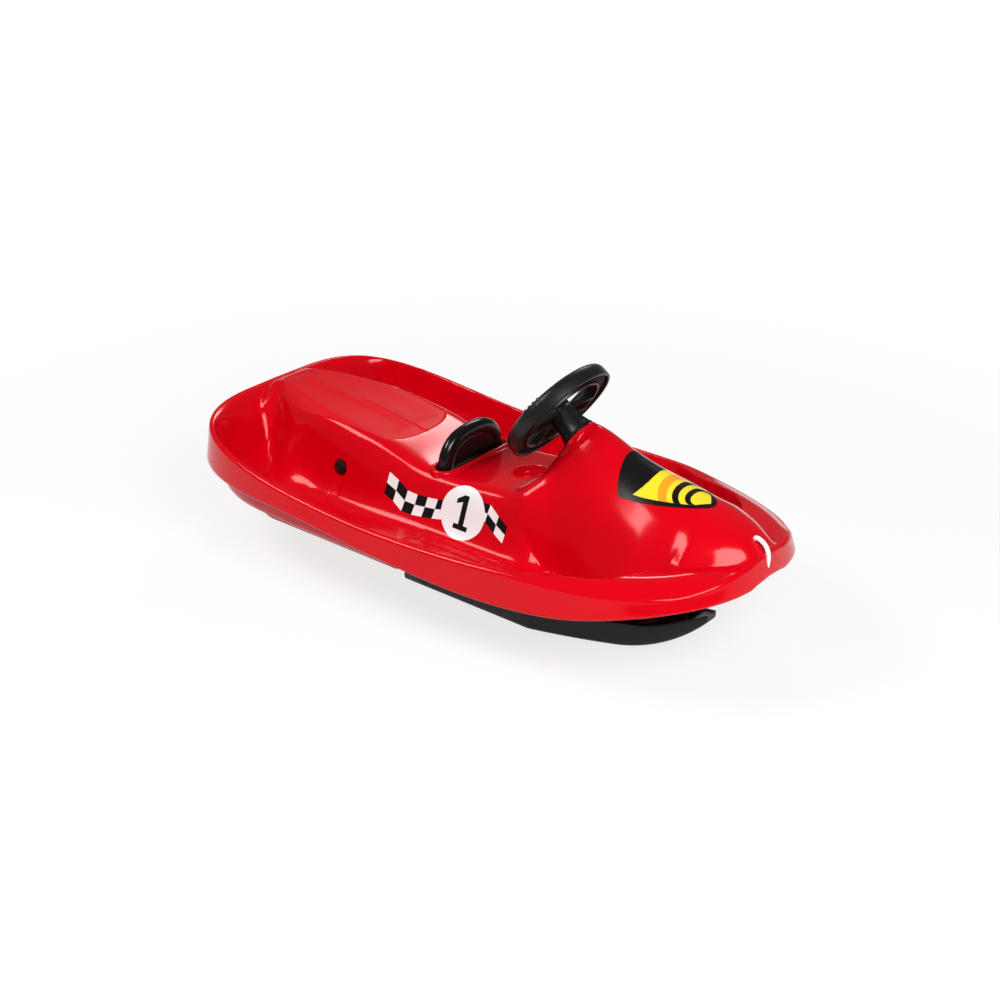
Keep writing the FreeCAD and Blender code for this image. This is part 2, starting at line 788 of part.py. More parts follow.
def ski_outline(inset):
    """Plan of the ski: square at the rear, tapering in two shallow curves to a blunt tip."""
    half = size.ski_width / 2 - inset
    rear = size.ski_rear_x + inset
    tip = SKI_TIP_X - inset
    tip_half = size.ski_tip_width / 2 - inset / 2
    shoulder = SKI_TIP_X - size.ski_taper_length
    middle = Vector((shoulder + tip) / 2, (half + tip_half) / 2 + size.ski_taper_bulge, 0)
    mirror = Vector(middle.x, -middle.y, 0)
    left = Part.Arc(Vector(shoulder, half, 0), middle, Vector(tip, tip_half, 0)).toShape()
    right = Part.Arc(Vector(tip, -tip_half, 0), mirror, Vector(shoulder, -half, 0)).toShape()
    corners = [Vector(shoulder, -half, 0), Vector(rear, -half, 0)]
    corners += [Vector(rear, half, 0), Vector(shoulder, half, 0)]
    lines = [Part.makeLine(a, b) for a, b in zip(corners, corners[1:])]
    end = Part.makeLine(Vector(tip, tip_half, 0), Vector(tip, -tip_half, 0))
    return Part.Face(Part.Wire(Part.__sortEdges__(lines + [left, end, right])))


def ski_side(lift_by):
    """Side view of the space above the ski's lower face, which bends up to the tip."""
    low = size.keel_height + lift_by
    rear = size.ski_rear_x - 10
    bend = SKI_TIP_X - size.ski_bend_length
    radius = (size.ski_bend_length ** 2 + size.ski_bend_rise ** 2) / (2 * size.ski_bend_rise)
    halfway = radius - math.sqrt(radius ** 2 - (size.ski_bend_length / 2) ** 2)
    across = -size.ski_width
    start = Vector(bend, across, low)
    overlap = 0.01
    end = Vector(SKI_TIP_X + overlap, across, low + size.ski_bend_rise)
    middle = Vector((bend + SKI_TIP_X) / 2, across, low + halfway)
    curve = Part.Arc(start, middle, end).toShape()
    above = SKI_TOP + size.ski_bend_rise + lift_by + 1
    corners = [end, Vector(end.x, across, above), Vector(rear, across, above)]
    corners += [Vector(rear, across, low), start]
    lines = [Part.makeLine(a, b) for a, b in zip(corners, corners[1:])]
    return Part.Face(Part.Wire([curve] + lines)).extrude(Vector(0, 2 * size.ski_width, 0))


def front_ski():
    rise = Vector(0, 0, SKI_TOP + size.ski_bend_rise)
    over = box_shape(Vector(size.ski_rear_x - 1, -size.ski_width, SKI_TOP),
                     Vector(SKI_TIP_X + 1, size.ski_width, 2 * rise.z))
    plan = ski_outline(0).extrude(rise)
    outside = plan.common(ski_side(0)).cut(over.common(ski_side(size.ski_tip_thickness)))
    inside = ski_outline(size.ski_wall).extrude(2 * rise).common(ski_side(size.ski_sole))
    ski = outside.cut(inside)
    keel_end = SKI_TIP_X - size.ski_bend_length
    for side in (-1, 1):
        middle = side * size.keel_spacing / 2
        inner = middle - size.keel_width / 2
        outer = middle + size.keel_width / 2
        keel = box_shape(Vector(size.ski_rear_x + 10, inner, 0),
                         Vector(keel_end, outer, size.keel_height + size.ski_sole / 2))
        ski = ski.fuse(keel.common(plan))
    boss = tube_shape(Vector(MAST_X, 0, 0), Vector(0, 0, 1), size.mast_foot / 2 + size.ski_boss_margin,
                      size.ski_boss_top)
    ski = ski.fuse(boss.common(ski_side(0)))
    for place in bolt_places:
        ski = ski.cut(tube_shape(place, Vector(0, 0, 1), size.bolt_diameter / 2, FOOT_TOP))
        ski = ski.cut(tube_shape(place, Vector(0, 0, 1), size.bolt_head / 2,
                                 size.ski_bolt_seat + size.bolt_head_height))
    return ski


def mast_bolts():
    bolts = []
    for index, place in enumerate(bolt_places):
        head = cylinder("mast_bolt_head_%d" % index, "bolt_head / 2", "bolt_head_height")
        head.Placement.Base = place + Vector(0, 0, size.ski_bolt_seat)
        shank = cylinder("mast_bolt_shank_%d" % index, "bolt_diameter / 2",
                         "ski_boss_top + mast_foot_thickness + bolt_head_height + 1 - ski_bolt_seat")
        shank.Placement.Base = place + Vector(0, 0, size.ski_bolt_seat)
        bolts.append(boolean("Fuse", "mast_bolt_%d" % index, head, shank))
    group = doc.addObject("Part::Compound", "mast_bolt_group")
    group.Links = bolts
    return group


def hex_nut(name, place, direction):
    """A nut of the common bolt's size, standing on a point and facing a direction."""
    nut = doc.addObject("Part::Prism", name + "_hexagon")
    nut.Polygon = 6
    bind(nut, Circumradius="Sizes.bolt_head / 2", Height="Sizes.bolt_head_height")
    nut.Placement = Placement(place, Rotation(Vector(0, 0, 1), direction))
    hole = cylinder(name + "_hole", "bolt_diameter / 2", "bolt_head_height")
    hole.Placement = nut.Placement
    return boolean("Cut", name, nut, hole)


def mast_nuts():
    group = doc.addObject("Part::Compound", "mast_nut_group")
    group.Links = [hex_nut("mast_nut_%d" % index, place + Vector(0, 0, FOOT_TOP), Vector(0, 0, 1))
                   for index, place in enumerate(bolt_places)]
    return group


TILLER_TOP = BALL_Z + size.tiller_thickness / 2 - size.slot_play
TILLER_LOW = size.mast_sleeve_high + size.flange_thickness + size.face_gap
CROSS_Z = TILLER_LOW + size.bolt_head / 2


def ski_mast():
    """An upright tube with a collar that carries the hull and a foot bolted to the ski."""
    foot = "ski_boss_top"
    foot_top = foot + " + mast_foot_thickness"
    collar = "mast_sleeve_low - flange_thickness - face_gap - washer_thickness"
    bore = "mast_diameter / 2 - sleeve_wall / 2"
    body = turned("mast_tube", [
        (bore, foot), ("mast_foot / 2", foot), ("mast_foot / 2", foot_top), ("mast_collar / 2", foot_top),
        ("mast_collar / 2", collar), ("mast_diameter / 2", collar),
        ("mast_diameter / 2", TILLER_TOP), (bore, TILLER_TOP)])
    body.Placement = MAST
    ways = [cylinder("mast_foot_way_%d" % index, "bolt_diameter / 2", "mast_sleeve_low",
                     Placement(place, Rotation())) for index, place in enumerate(bolt_places)]
    ways.append(cylinder("mast_cross_way", "bolt_diameter / 2", "2 * mast_foot",
                         Placement(Vector(MAST_X, size.mast_foot, CROSS_Z), Rotation(Vector(1, 0, 0), 90))))
    return boolean("Cut", "mast_drilled", body, joined("mast_ways", ways))


def tiller():
    """A hub on the mast with an arm to the rear, slotted for the rod's ball."""
    hub = cylinder("tiller_hub", "mast_diameter / 2 + tiller_wall", TILLER_TOP - TILLER_LOW,
                   Placement(Vector(MAST_X, 0, TILLER_LOW), Rotation()))
    slot_half = size.ball_diameter / 2 + size.slot_play
    arm_low = TILLER_TOP - size.tiller_thickness
    arm_end = size.tiller_reach + size.ball_diameter + size.tiller_wall
    arm = block("tiller_arm", "tiller_reach + ball_diameter + tiller_wall",
                "ball_diameter + 2 * slot_play + 2 * tiller_wall", "tiller_thickness",
                Placement(Vector(MAST_X - arm_end, -slot_half - size.tiller_wall, arm_low), Rotation()))
    slot = block("tiller_slot", "2 * ball_diameter", "ball_diameter + 2 * slot_play", "2 * tiller_thickness",
                 Placement(Vector(crank_end.x - size.ball_diameter, -slot_half, arm_low - 1), Rotation()))
    bore = cylinder("tiller_bore", "mast_diameter / 2", "2 * mast_foot",
                    Placement(Vector(MAST_X, 0, arm_low - size.mast_foot), Rotation()))
    way = cylinder("tiller_cross_way", "bolt_diameter / 2", "2 * mast_foot",
                   Placement(Vector(MAST_X, size.mast_foot, CROSS_Z), Rotation(Vector(1, 0, 0), 90)))
    ways = joined("tiller_ways", [slot, bore, way])
    return boolean("Cut", "tiller_drilled", joined("tiller_body", [hub, arm]), ways)


def tiller_bolt():
    reach = size.mast_diameter / 2 + size.tiller_wall
    turn = Rotation(Vector(1, 0, 0), -90)
    head = cylinder("tiller_bolt_head", "bolt_head / 2", "bolt_head_height",
                    Placement(Vector(MAST_X, -reach - size.bolt_head_height, CROSS_Z), turn))
    shank = cylinder("tiller_bolt_shank", "bolt_diameter / 2",
                     "mast_diameter + 2 * tiller_wall + bolt_head_height + 1",
                     Placement(Vector(MAST_X, -reach, CROSS_Z), turn))
    return joined("tiller_bolt_body", [head, shank])


def tiller_nut():
    reach = size.mast_diameter / 2 + size.tiller_wall
    return hex_nut("tiller_nut_body", Vector(MAST_X, reach, CROSS_Z), Vector(0, 1, 0))


MAST_SHAFT = "mast_diameter / 2"
MAST_BORE = "mast_diameter / 2 + running_gap"
MAST_BUSH = "mast_diameter / 2 + bush_wall"
MAST_FLANGE = "mast_diameter / 2 + bush_wall + flange_extra"
finished(free_shape("front_ski", front_ski()), "front_ski")
finished(ski_mast(), "ski_mast")
finished(mast_bolts(), "mast_bolts")
finished(mast_nuts(), "mast_nuts")
finished(flanged_bush("mast_lower_bush", MAST_BORE, MAST_BUSH, MAST_FLANGE, "mast_sleeve_low",
                      "mast_sleeve_low + bush_length", "mast_sleeve_low - flange_thickness"),
         "mast_lower_bush", MAST)
finished(flanged_bush("mast_upper_bush", MAST_BORE, MAST_BUSH, MAST_FLANGE, "mast_sleeve_high",
                      "mast_sleeve_high - bush_length", "mast_sleeve_high + flange_thickness"),
         "mast_upper_bush", MAST)
THRUST = "mast_sleeve_low - flange_thickness - face_gap"
finished(ring("thrust_washer", MAST_SHAFT, "mast_collar / 2", THRUST + " - washer_thickness", THRUST),
         "thrust_washer", MAST)
finished(tiller(), "tiller")
finished(tiller_bolt(), "tiller_bolt")
finished(tiller_nut(), "tiller_nut")

# Brake lever on its axle

ACROSS = Rotation(Vector(1, 0, 0), -90)
AXLE_HALF = AXLE_WALL - size.axle_recess + size.axle_cap_length - size.axle_cap_wall
TUBE_HALF = min(AXLE_WALL - size.axle_pad_length, size.sole_width / 2 - size.wall) - size.end_gap
tube_outer = size.axle_diameter / 2 + size.running_gap + size.pivot_tube_wall
STEM_Z = size.deck_z - size.stem_depth
STEM_X = size.axle_x + math.sqrt(size.handle_radius ** 2 - (STEM_Z - size.axle_z) ** 2)


def axle_point(y):
    return Vector(size.axle_x, y, size.axle_z)


def brake_axle():
    return cylinder("axle_rod", "axle_diameter / 2", 2 * AXLE_HALF, Placement(axle_point(-AXLE_HALF), ACROSS))


def axle_cap(name, side):
    start = AXLE_WALL - size.axle_recess
    turn = Rotation(Vector(1, 0, 0), -90 * side)
    outside = cylinder(name + "_outside", "axle_cap_diameter / 2", "axle_cap_length",
                       Placement(axle_point(side * start), turn))
    hole = cylinder(name + "_hole", "axle_diameter / 2", "axle_cap_length - axle_cap_wall",
                    Placement(axle_point(side * start), turn))
    return boolean("Cut", name + "_body", outside, hole)


def pivot_tube():
    outside = cylinder("pivot_outside", "axle_diameter / 2 + running_gap + pivot_tube_wall", 2 * TUBE_HALF,
                       Placement(axle_point(-TUBE_HALF), ACROSS))
    bore = cylinder("pivot_bore", "axle_diameter / 2 + running_gap", "hull_width",
                    Placement(axle_point(-HALF_WIDTH), ACROSS))
    return boolean("Cut", "pivot_body", outside, bore)


def half_moon(width, rise, base, thickness):
    """The half-moon upright at its slot: half an ellipse on a straight base, of one thickness."""
    ellipse = Part.Ellipse(Vector(0, 0, 0), width / 2, rise)
    arc = Part.Edge(Part.ArcOfEllipse(ellipse, 0, math.pi))
    chord = Part.makeLine(Vector(width / 2, 0, 0), Vector(-width / 2, 0, 0))
    face = Part.Face(Part.Wire([arc, chord]))
    stand = Rotation(Vector(0, 1, 0), Vector(0, 0, 1), Vector(1, 0, 0), "XYZ")
    face.Placement = Placement(Vector(handle_x - thickness / 2, 0, base), stand)
    return face.extrude(Vector(thickness, 0, 0))


def brake_handle():
    """An upright half-moon with a rolled edge, on a stem curved about the axle that ends in a lug."""
    base = size.deck_z - size.lip_height
    rise = size.handle_rise
    web = half_moon(size.handle_width, rise, base, size.handle_web)
    roll = half_moon(size.handle_width, rise, base, size.handle_roll)
    hollow = half_moon(size.handle_width - 2 * size.handle_roll, rise - size.handle_roll, base - 1,
                       2 * size.handle_roll)
    outer = tube_shape(axle_point(-size.stem_width / 2), Vector(0, 1, 0),
                       size.handle_radius + size.handle_web / 2, size.stem_width)
    inner = tube_shape(axle_point(-size.stem_width), Vector(0, 1, 0),
                       size.handle_radius - size.handle_web / 2, 2 * size.stem_width)
    reach = box_shape(Vector(size.axle_x, -size.stem_width, STEM_Z),
                      Vector(HALF_WIDTH, size.stem_width, base + size.handle_roll))
    stem = outer.cut(inner).common(reach)
    lug = tube_shape(Vector(STEM_X, -size.stem_width / 2, STEM_Z), Vector(0, 1, 0), size.stem_lug / 2,
                     size.stem_width)
    way = tube_shape(Vector(STEM_X, -size.stem_width, STEM_Z), Vector(0, 1, 0), size.bolt_diameter / 2,
                     2 * size.stem_width)
    return web.fuse([roll.cut(hollow), stem, lug]).cut(way).removeSplitter()


def brake_arm(name, side):
    """A flat bar from the pivot tube to the handle's lug, on one side of the stem."""
    low = size.stem_width / 2 if side > 0 else -size.stem_width / 2 - size.arm_thickness
    run = math.hypot(STEM_X - size.axle_x, STEM_Z - size.axle_z)
    slope = math.degrees(math.atan2(size.axle_z - STEM_Z, STEM_X - size.axle_x))
    turn = Rotation(Vector(0, 1, 0), slope)
    bar = block(name + "_bar", run, "arm_thickness", "arm_height",
                Placement(axle_point(low) - turn.multVec(Vector(0, 0, size.arm_height / 2)), turn))
    eye = cylinder(name + "_eye", "axle_diameter / 2 + 3 * pivot_tube_wall", "arm_thickness",
                   Placement(axle_point(low), ACROSS))
    far_end = Placement(Vector(STEM_X, low, STEM_Z), ACROSS)
    end = cylinder(name + "_end", "arm_height / 2", "arm_thickness", far_end)
    hole = cylinder(name + "_hole", "axle_diameter / 2 + running_gap + pivot_tube_wall", "arm_thickness",
                    Placement(axle_point(low), ACROSS))
    way = cylinder(name + "_way", "bolt_diameter / 2", "arm_thickness", far_end)
    solid = joined(name + "_solid", [bar, eye, end])
    return boolean("Cut", name + "_body", solid, joined(name + "_ways", [hole, way]))


def brake_claw():
    """A plate from the pivot tube to the ground, with a toothed lower edge."""
    teeth = 4
    half = "claw_width / 2"
    corners = [("axle_diameter / 2 + running_gap + pivot_tube_wall", "- " + half)]
    for tooth in range(teeth):
        left = "claw_width * %d / %d - %s" % (tooth, teeth, half)
        tip = "claw_width * %d / %d - %s" % (2 * tooth + 1, 2 * teeth, half)
        corners.append(("claw_reach - claw_tooth", left))
        corners.append(("claw_reach", tip))
    corners.append(("claw_reach - claw_tooth", half))
    corners.append(("axle_diameter / 2 + running_gap + pivot_tube_wall", half))
    plate = padded("claw_plate", "XY_Plane", corners, "claw_thickness")
    along = Vector(-math.cos(claw_turn), 0, -math.sin(claw_turn))
    across = Vector(0, 1, 0)
    plate.Placement = Placement(axle_point(0), Rotation(along, across, along.cross(across), "XYZ"))
    return plate


def handle_bolt():
    """A long bolt through both arms and the lug."""
    reach = size.stem_width / 2 + size.arm_thickness
    head = cylinder("handle_bolt_head", "bolt_head / 2", "bolt_head_height",
                    Placement(Vector(STEM_X, -reach - size.bolt_head_height, STEM_Z), ACROSS))
    shank = cylinder("handle_bolt_shank", "bolt_diameter / 2",
                     "stem_width + 2 * arm_thickness + bolt_head_height + 1",
                     Placement(Vector(STEM_X, -reach, STEM_Z), ACROSS))
    return joined("handle_bolt_body", [head, shank])


def handle_nut():
    reach = size.stem_width / 2 + size.arm_thickness
    return hex_nut("handle_nut_body", Vector(STEM_X, reach, STEM_Z), Vector(0, 1, 0))


finished(brake_axle(), "brake_axle")
finished(axle_cap("cap_left", 1), "axle_cap_left")
finished(axle_cap("cap_right", -1), "axle_cap_right")
finished(pivot_tube(), "brake_pivot_tube")
finished(free_shape("brake_handle", brake_handle()), "brake_handle")
finished(brake_arm("arm_left", 1), "brake_arm_left")
finished(brake_arm("arm_right", -1), "brake_arm_right")
finished(brake_claw(), "brake_claw")
finished(handle_bolt(), "handle_bolt")
finished(handle_nut(), "handle_nut")

# Tow cord over the nose, with a knot at each end

cord_middle_x = (cord_front_x + cord_rear_x) / 2
cord_arch_z = hull_top(cord_rear_x, 0) - size.wall / 2
knot_radius = size.knot_diameter / 2
lowest_wall = min(hull_bottom(cord_rear_x + step, 0) for step in (-knot_radius, 0, knot_radius))
rear_knot_z = lowest_wall - knot_radius - size.cord_gap
front_knot_z = rim_top(NOSE_X) - size.skirt_nose - knot_radius


def tow_cord():
    """Two straight legs and the half circle that joins them over the rim."""
    arch = doc.addObject("Part::Torus", "cord_arch")
    bind(arch, Radius1="Sizes.cord_span / 2", Radius2="Sizes.cord_diameter / 2")
    arch.Angle3 = 180
    arch.Placement = Placement(Vector(cord_middle_x, 0, cord_arch_z), Rotation(Vector(1, 0, 0), 90))
    legs = []
    ends = (("cord_front_leg", cord_front_x, front_knot_z), ("cord_rear_leg", cord_rear_x, rear_knot_z))
    for name, x, low in ends:
        bottom = low + knot_radius
        legs.append(cylinder(name, "cord_diameter / 2", cord_arch_z - bottom,
                             Placement(Vector(x, 0, bottom), Rotation())))
    return joined("cord_line", [arch] + legs)


def cord_knots():
    knots = []
    for name, x, z in (("front_knot", cord_front_x, front_knot_z), ("rear_knot", cord_rear_x, rear_knot_z)):
        knot = doc.addObject("Part::Sphere", name)
        bind(knot, Radius="Sizes.knot_diameter / 2")
        knot.Placement.Base = Vector(x, 0, z)
        knots.append(knot)
    group = doc.addObject("Part::Compound", "knot_group")
    group.Links = knots
    return group


finished(tow_cord(), "tow_cord")
finished(cord_knots(), "cord_knots")

# Checks before anything is written

doc.recompute()
for item in doc.Objects:
    if "Invalid" in item.State or "Error" in item.State:
        raise RuntimeError("failed object: " + item.Label)
os.makedirs("parts", exist_ok=True)
for item in parts:
    if item.Shape.isNull() or not item.Shape.isValid():
        raise RuntimeError("bad shape: " + item.Label)
    print(item.Label, len(item.Shape.Solids), round(item.Shape.Volume / 1000, 1), "cm3", item.Shape.BoundBox)
    item.Shape.exportStep("parts/%s.step" % item.Label)
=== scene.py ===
"""Looks for the steering sled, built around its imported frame."""

import json
import math

import bpy
import bmesh
import numpy as np
from mathutils import Matrix, Vector


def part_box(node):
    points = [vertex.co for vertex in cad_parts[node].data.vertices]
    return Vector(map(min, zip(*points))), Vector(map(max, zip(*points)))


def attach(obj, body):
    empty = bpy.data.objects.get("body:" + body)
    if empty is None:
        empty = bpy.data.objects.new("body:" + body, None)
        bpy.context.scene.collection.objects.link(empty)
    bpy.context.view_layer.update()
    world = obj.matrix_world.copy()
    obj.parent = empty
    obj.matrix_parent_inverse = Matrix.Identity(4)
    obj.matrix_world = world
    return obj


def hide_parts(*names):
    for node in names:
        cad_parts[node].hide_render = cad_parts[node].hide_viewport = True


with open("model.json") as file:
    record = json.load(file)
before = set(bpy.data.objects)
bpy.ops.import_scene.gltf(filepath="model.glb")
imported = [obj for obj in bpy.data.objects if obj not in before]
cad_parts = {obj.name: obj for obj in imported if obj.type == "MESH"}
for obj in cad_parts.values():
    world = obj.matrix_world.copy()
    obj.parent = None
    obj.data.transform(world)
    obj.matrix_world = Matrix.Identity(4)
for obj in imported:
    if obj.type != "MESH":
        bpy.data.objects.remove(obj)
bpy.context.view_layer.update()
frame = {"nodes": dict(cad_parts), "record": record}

# Sizes are in millimetres, and meshes are written in metres.
MM = 0.001

# Hull form: plan and rim as in the part's source, the upper face fitted closer to the photo
TAIL_X = -500.0
NOSE_X = 500.0
WIDEST_X = -100.0
HALF_WIDTH = 265.0
NOSE_FULLNESS = 2.73
TAIL_FULLNESS = 3.91
RIM_HEIGHT = 160.0
TAIL_SHEER = 60.0
NOSE_SHEER = 37.0
SHEER_OVERLAP = 81.0
RIM_SLOPE = 15.0
RIM_SLOPE_TAIL = 46.0
FLAT_STATIONS = ((180, 15), (248, 32), (323, 36), (360, 54), (393, 90), (440, 104))
SLOPE_STATIONS = ((TAIL_X, RIM_SLOPE_TAIL), (-390, RIM_SLOPE))
SQUARENESS_STATIONS = ((-470, 4.5), (-400, 6.0), (-280, 13.0))
REAR_SLOPE = (0.62, 1.62)
REAR_BLEND = (-400, -270)
SHOULDER_Y = 86.0
SHOULDER_SLOPE = 1.75
SHOULDER_FADE = 60.0
BEYOND_SHOULDER = 125.0
SHOULDER_REAR = (-400, -290)
SHOULDER_FRONT = (40, 110)
BLEND_POWER = 4
BEND_STATIONS = ((300, 1.8), (400, 2.3), (470, 2.8))
FLOOR_STATIONS = ((-456, 186), (-422, 134), (-385, 110), (-330, 105), (-180, 105), (225, 108), (320, 122),
                  (375, 150), (412, 186))
RIDGE_STATIONS = ((-492, 186), (-455, 229), (-405, 237), (-180, 217), (-54, 192), (68, 200), (98, 206),
                  (180, 315), (270, 282), (386, 250), (460, 224), (484, 206), (494, 190))
HALF_STATIONS = ((-490, 58), (-455, 54), (-436, 56), (-395, 76), (-357, 92), (-295, 106), (-180, 110),
                 (-54, 107), (98, 107))
FLANK_STATIONS = ((180, 104), (270, 124), (322, 130), (395, 100), (440, 76), (490, 48))
CONE_FOOT_X = 98.0
CONE_PEAK_X = 180.0
ROLL_STATIONS = ((180, 0), (300, 9), (380, 15), (433, 17), (474, 8), (497, 2))
ROLL_WIDTH = 38.0
ROLL_SIDES = (30, 110)
SKIRT_STATIONS = ((-500, 62), (-170, 29), (270, 56), (500, 35))
SHELL = 3.2
EDGE_RADIUS = 7.0
SKIRT_FLARE = 6.0
SHEET_INSET = EDGE_RADIUS + SKIRT_FLARE

# Features of the hull's upper face
CUP_X = 68.0
CUP_RADIUS = 28.0
CUP_DEPTH = 11.0
AXLE_X = -236.0
AXLE_Z = 156.0
HANDLE_X = -52.8
SLOT_HALF_LENGTH = 15.0
SLOT_HALF_WIDTH = 80.0
DECK_Z = 192.0

# Steering column
COLUMN_TILT = math.radians(35)
WHEEL_CENTRE = np.array((117.0, 0.0, 320.0))
COLUMN_X = np.array((0.0, -1.0, 0.0))
COLUMN_Y = np.array((math.sin(COLUMN_TILT), 0.0, math.cos(COLUMN_TILT)))
COLUMN_Z = np.array((-math.cos(COLUMN_TILT), 0.0, math.sin(COLUMN_TILT)))
FACE_DISTANCE = 54.0
FACE_RADIUS = 30.0


def smooth(low, high, number):
    """0 below low, 1 above high and an S-curve between them."""
    share = np.clip((number - low) / (high - low), 0.0, 1.0)
    return share * share * (3 - 2 * share)


def through(stations, x):
    """A smooth curve through (x, height) stations, with no overshoot between them."""
    if x <= stations[0][0]:
        return stations[0][1]
    if x >= stations[-1][0]:
        return stations[-1][1]
    slopes = [(b[1] - a[1]) / (b[0] - a[0]) for a, b in zip(stations, stations[1:])]
    tangents = [0.0]
    for before, after in zip(slopes, slopes[1:]):
        tangents.append(2 * before * after / (before + after) if before * after > 0 else 0.0)
    tangents.append(0.0)
    index = max(i for i in range(len(slopes)) if x >= stations[i][0])
    (x0, z0), (x1, z1) = stations[index], stations[index + 1]
    run = x1 - x0
    share = (x - x0) / run
    back = 1 - share
    level = z0 * (1 + 2 * share) * back ** 2 + z1 * (3 - 2 * share) * share ** 2
    return level + run * (tangents[index] * share * back ** 2 - tangents[index + 1] * share ** 2 * back)


def plan_half(x):
    """Reach and fullness of the half oval that holds x."""
    if x > WIDEST_X:
        return NOSE_X - WIDEST_X, NOSE_FULLNESS
    return WIDEST_X - TAIL_X, TAIL_FULLNESS


def half_width(x, inset):
    """Half width of the plan at x, for the outline moved in by a distance."""
    reach, power = plan_half(x)
    along = min(abs(x - WIDEST_X) / (reach - inset), 1.0)
    return (HALF_WIDTH - inset) * (1 - along ** power) ** (1 / power)


def outward(x, y):
    """Direction out of the plan outline near a point."""
    reach, power = plan_half(x)
    along = abs(x - WIDEST_X) / reach
    across = abs(y) / HALF_WIDTH
    normal = np.array((math.copysign(along ** (power - 1) / reach, x - WIDEST_X),
                       math.copysign(across ** (power - 1) / HALF_WIDTH, y)))
    return normal / np.linalg.norm(normal)


def rim_distance(x, y):
    """Distance in from the plan outline, to first order, for an array of y."""
    reach, power = plan_half(x)
    along = abs(x - WIDEST_X) / reach
    across = np.abs(y) / HALF_WIDTH
    radius = np.maximum((along ** power + across ** power) ** (1 / power), 1e-6)
    slope_along = (along / radius) ** (power - 1) / reach
    slope_across = (across / radius) ** (power - 1) / HALF_WIDTH
    return (1 - radius) / np.hypot(slope_along, slope_across)


def rim_top(x):
    """Height of the rim, which rises to both ends."""
    tail = max(WIDEST_X + SHEER_OVERLAP - x, 0) / (WIDEST_X - TAIL_X + SHEER_OVERLAP)
    nose = max(x - WIDEST_X, 0) / (NOSE_X - WIDEST_X)
    return RIM_HEIGHT + TAIL_SHEER * tail ** 2 + NOSE_SHEER * nose ** 2


def rim_roll(x, y):
    """How far the front rim has sunk towards its outer edge, for an array of y."""
    share = np.clip(1 - (rim_distance(x, y) - SHEET_INSET) / ROLL_WIDTH, 0, 1)
    return through(ROLL_STATIONS, x) * smooth(*ROLL_SIDES, np.abs(y)) * share ** 2


def hull_top(x, y):
    """Height of the hull's upper face at x, for an array of y."""
    y = np.abs(np.asarray(y, float))
    low = through(FLOOR_STATIONS, x)
    flat = through(FLAT_STATIONS, x)
    slope = through(SLOPE_STATIONS, x)
    bowl = (rim_top(x) - low) * (1 - smooth(flat, flat + slope, rim_distance(x, y)))
    half = through(HALF_STATIONS, x)
    deck = 1 / (1 + (y / half) ** through(SQUARENESS_STATIONS, x))
    rear = 1 - smooth(half * REAR_SLOPE[0], half * REAR_SLOPE[1], y)
    deck = deck + (rear - deck) * (1 - smooth(*REAR_BLEND, x))
    cone = 1 - np.minimum(y / through(FLANK_STATIONS, x), 1) ** through(BEND_STATIONS, x)
    share = smooth(CONE_FOOT_X, CONE_PEAK_X, x)
    rise = through(RIDGE_STATIONS, x) - low
    ridge = rise * ((1 - share) * deck + share * cone)
    chamfered = smooth(*SHOULDER_REAR, x) * (1 - smooth(*SHOULDER_FRONT, x))
    shoulder = rise - SHOULDER_SLOPE * (y - SHOULDER_Y) + SHOULDER_FADE * (1 - chamfered)
    ridge = np.where(y < BEYOND_SHOULDER, np.minimum(ridge, shoulder), ridge)
    joined = np.maximum(bowl, 0) ** BLEND_POWER + np.maximum(ridge, 0) ** BLEND_POWER
    return low + joined ** (1 / BLEND_POWER) - rim_roll(x, y)


def top_at(x, y):
    """Height of the hull's upper face at one point."""
    return float(hull_top(x, np.array([y]))[0])


# Seat panel: rounded at the back, dished each side of a crease
PANEL_BACK_X = -448.0
PANEL_ROUND_X = -300.0
PANEL_FRONT_X = -146.0
PANEL_HALF = 85.0
PANEL_HALF_FRONT = 74.0
PANEL_CORNER_RUN = 20.0
PANEL_DROP = 1.8
PANEL_EDGE = (-1.0, 2.0)
PANEL_DISH = 2.5
PANEL_DISH_RUN = 50.0
PANEL_MIDDLE = 14.0
CREASE_BACK_X = -318.0
CREASE_RUN = 60.0
CREASE_DEPTH = 2.2
CREASE_WIDTH = 2.4

# Groove in the mound's side, down from the axle's end
GROOVE_X = AXLE_X + 2
GROOVE_DEPTH = 3.2
GROOVE_SIDE = (7.0, 9.5)
GROOVE_TOP = (108, 114)
GROOVE_FOOT = (135, 150)


def panel_margin(x, y):
    """Distance inside the seat panel's edge, negative outside."""
    y = np.abs(y)
    side = through(((PANEL_ROUND_X, PANEL_HALF), (PANEL_FRONT_X, PANEL_HALF_FRONT)), x) - y
    front = PANEL_FRONT_X - PANEL_CORNER_RUN * (y / PANEL_HALF_FRONT) ** 3 - x
    margin = np.minimum(side, front)
    if x < PANEL_ROUND_X:
        along = (PANEL_ROUND_X - x) / (PANEL_ROUND_X - PANEL_BACK_X)
        radius = np.hypot(along, y / PANEL_HALF)
        margin = np.minimum(margin, (1 - radius) * PANEL_HALF)
    return margin


# Footwell tread: broken ribs on a raised pad
PAD_BACK_X = -40.0
PAD_FRONT_X = 235.0
PAD_INNER = 126.0
PAD_OUTER = 206.0
RIB_PITCH = 15.0
RIB_LENGTH = 62.0
PAD_SLANT = 0.5
PAD_RISE = 0.8
PAD_EDGE = 4.0
RIB_RISE = 1.5
RIB_SIDE = (3.0, 5.5)
RIB_END = (2.0, 6.0)
RIB_MARGIN = (5, 9)


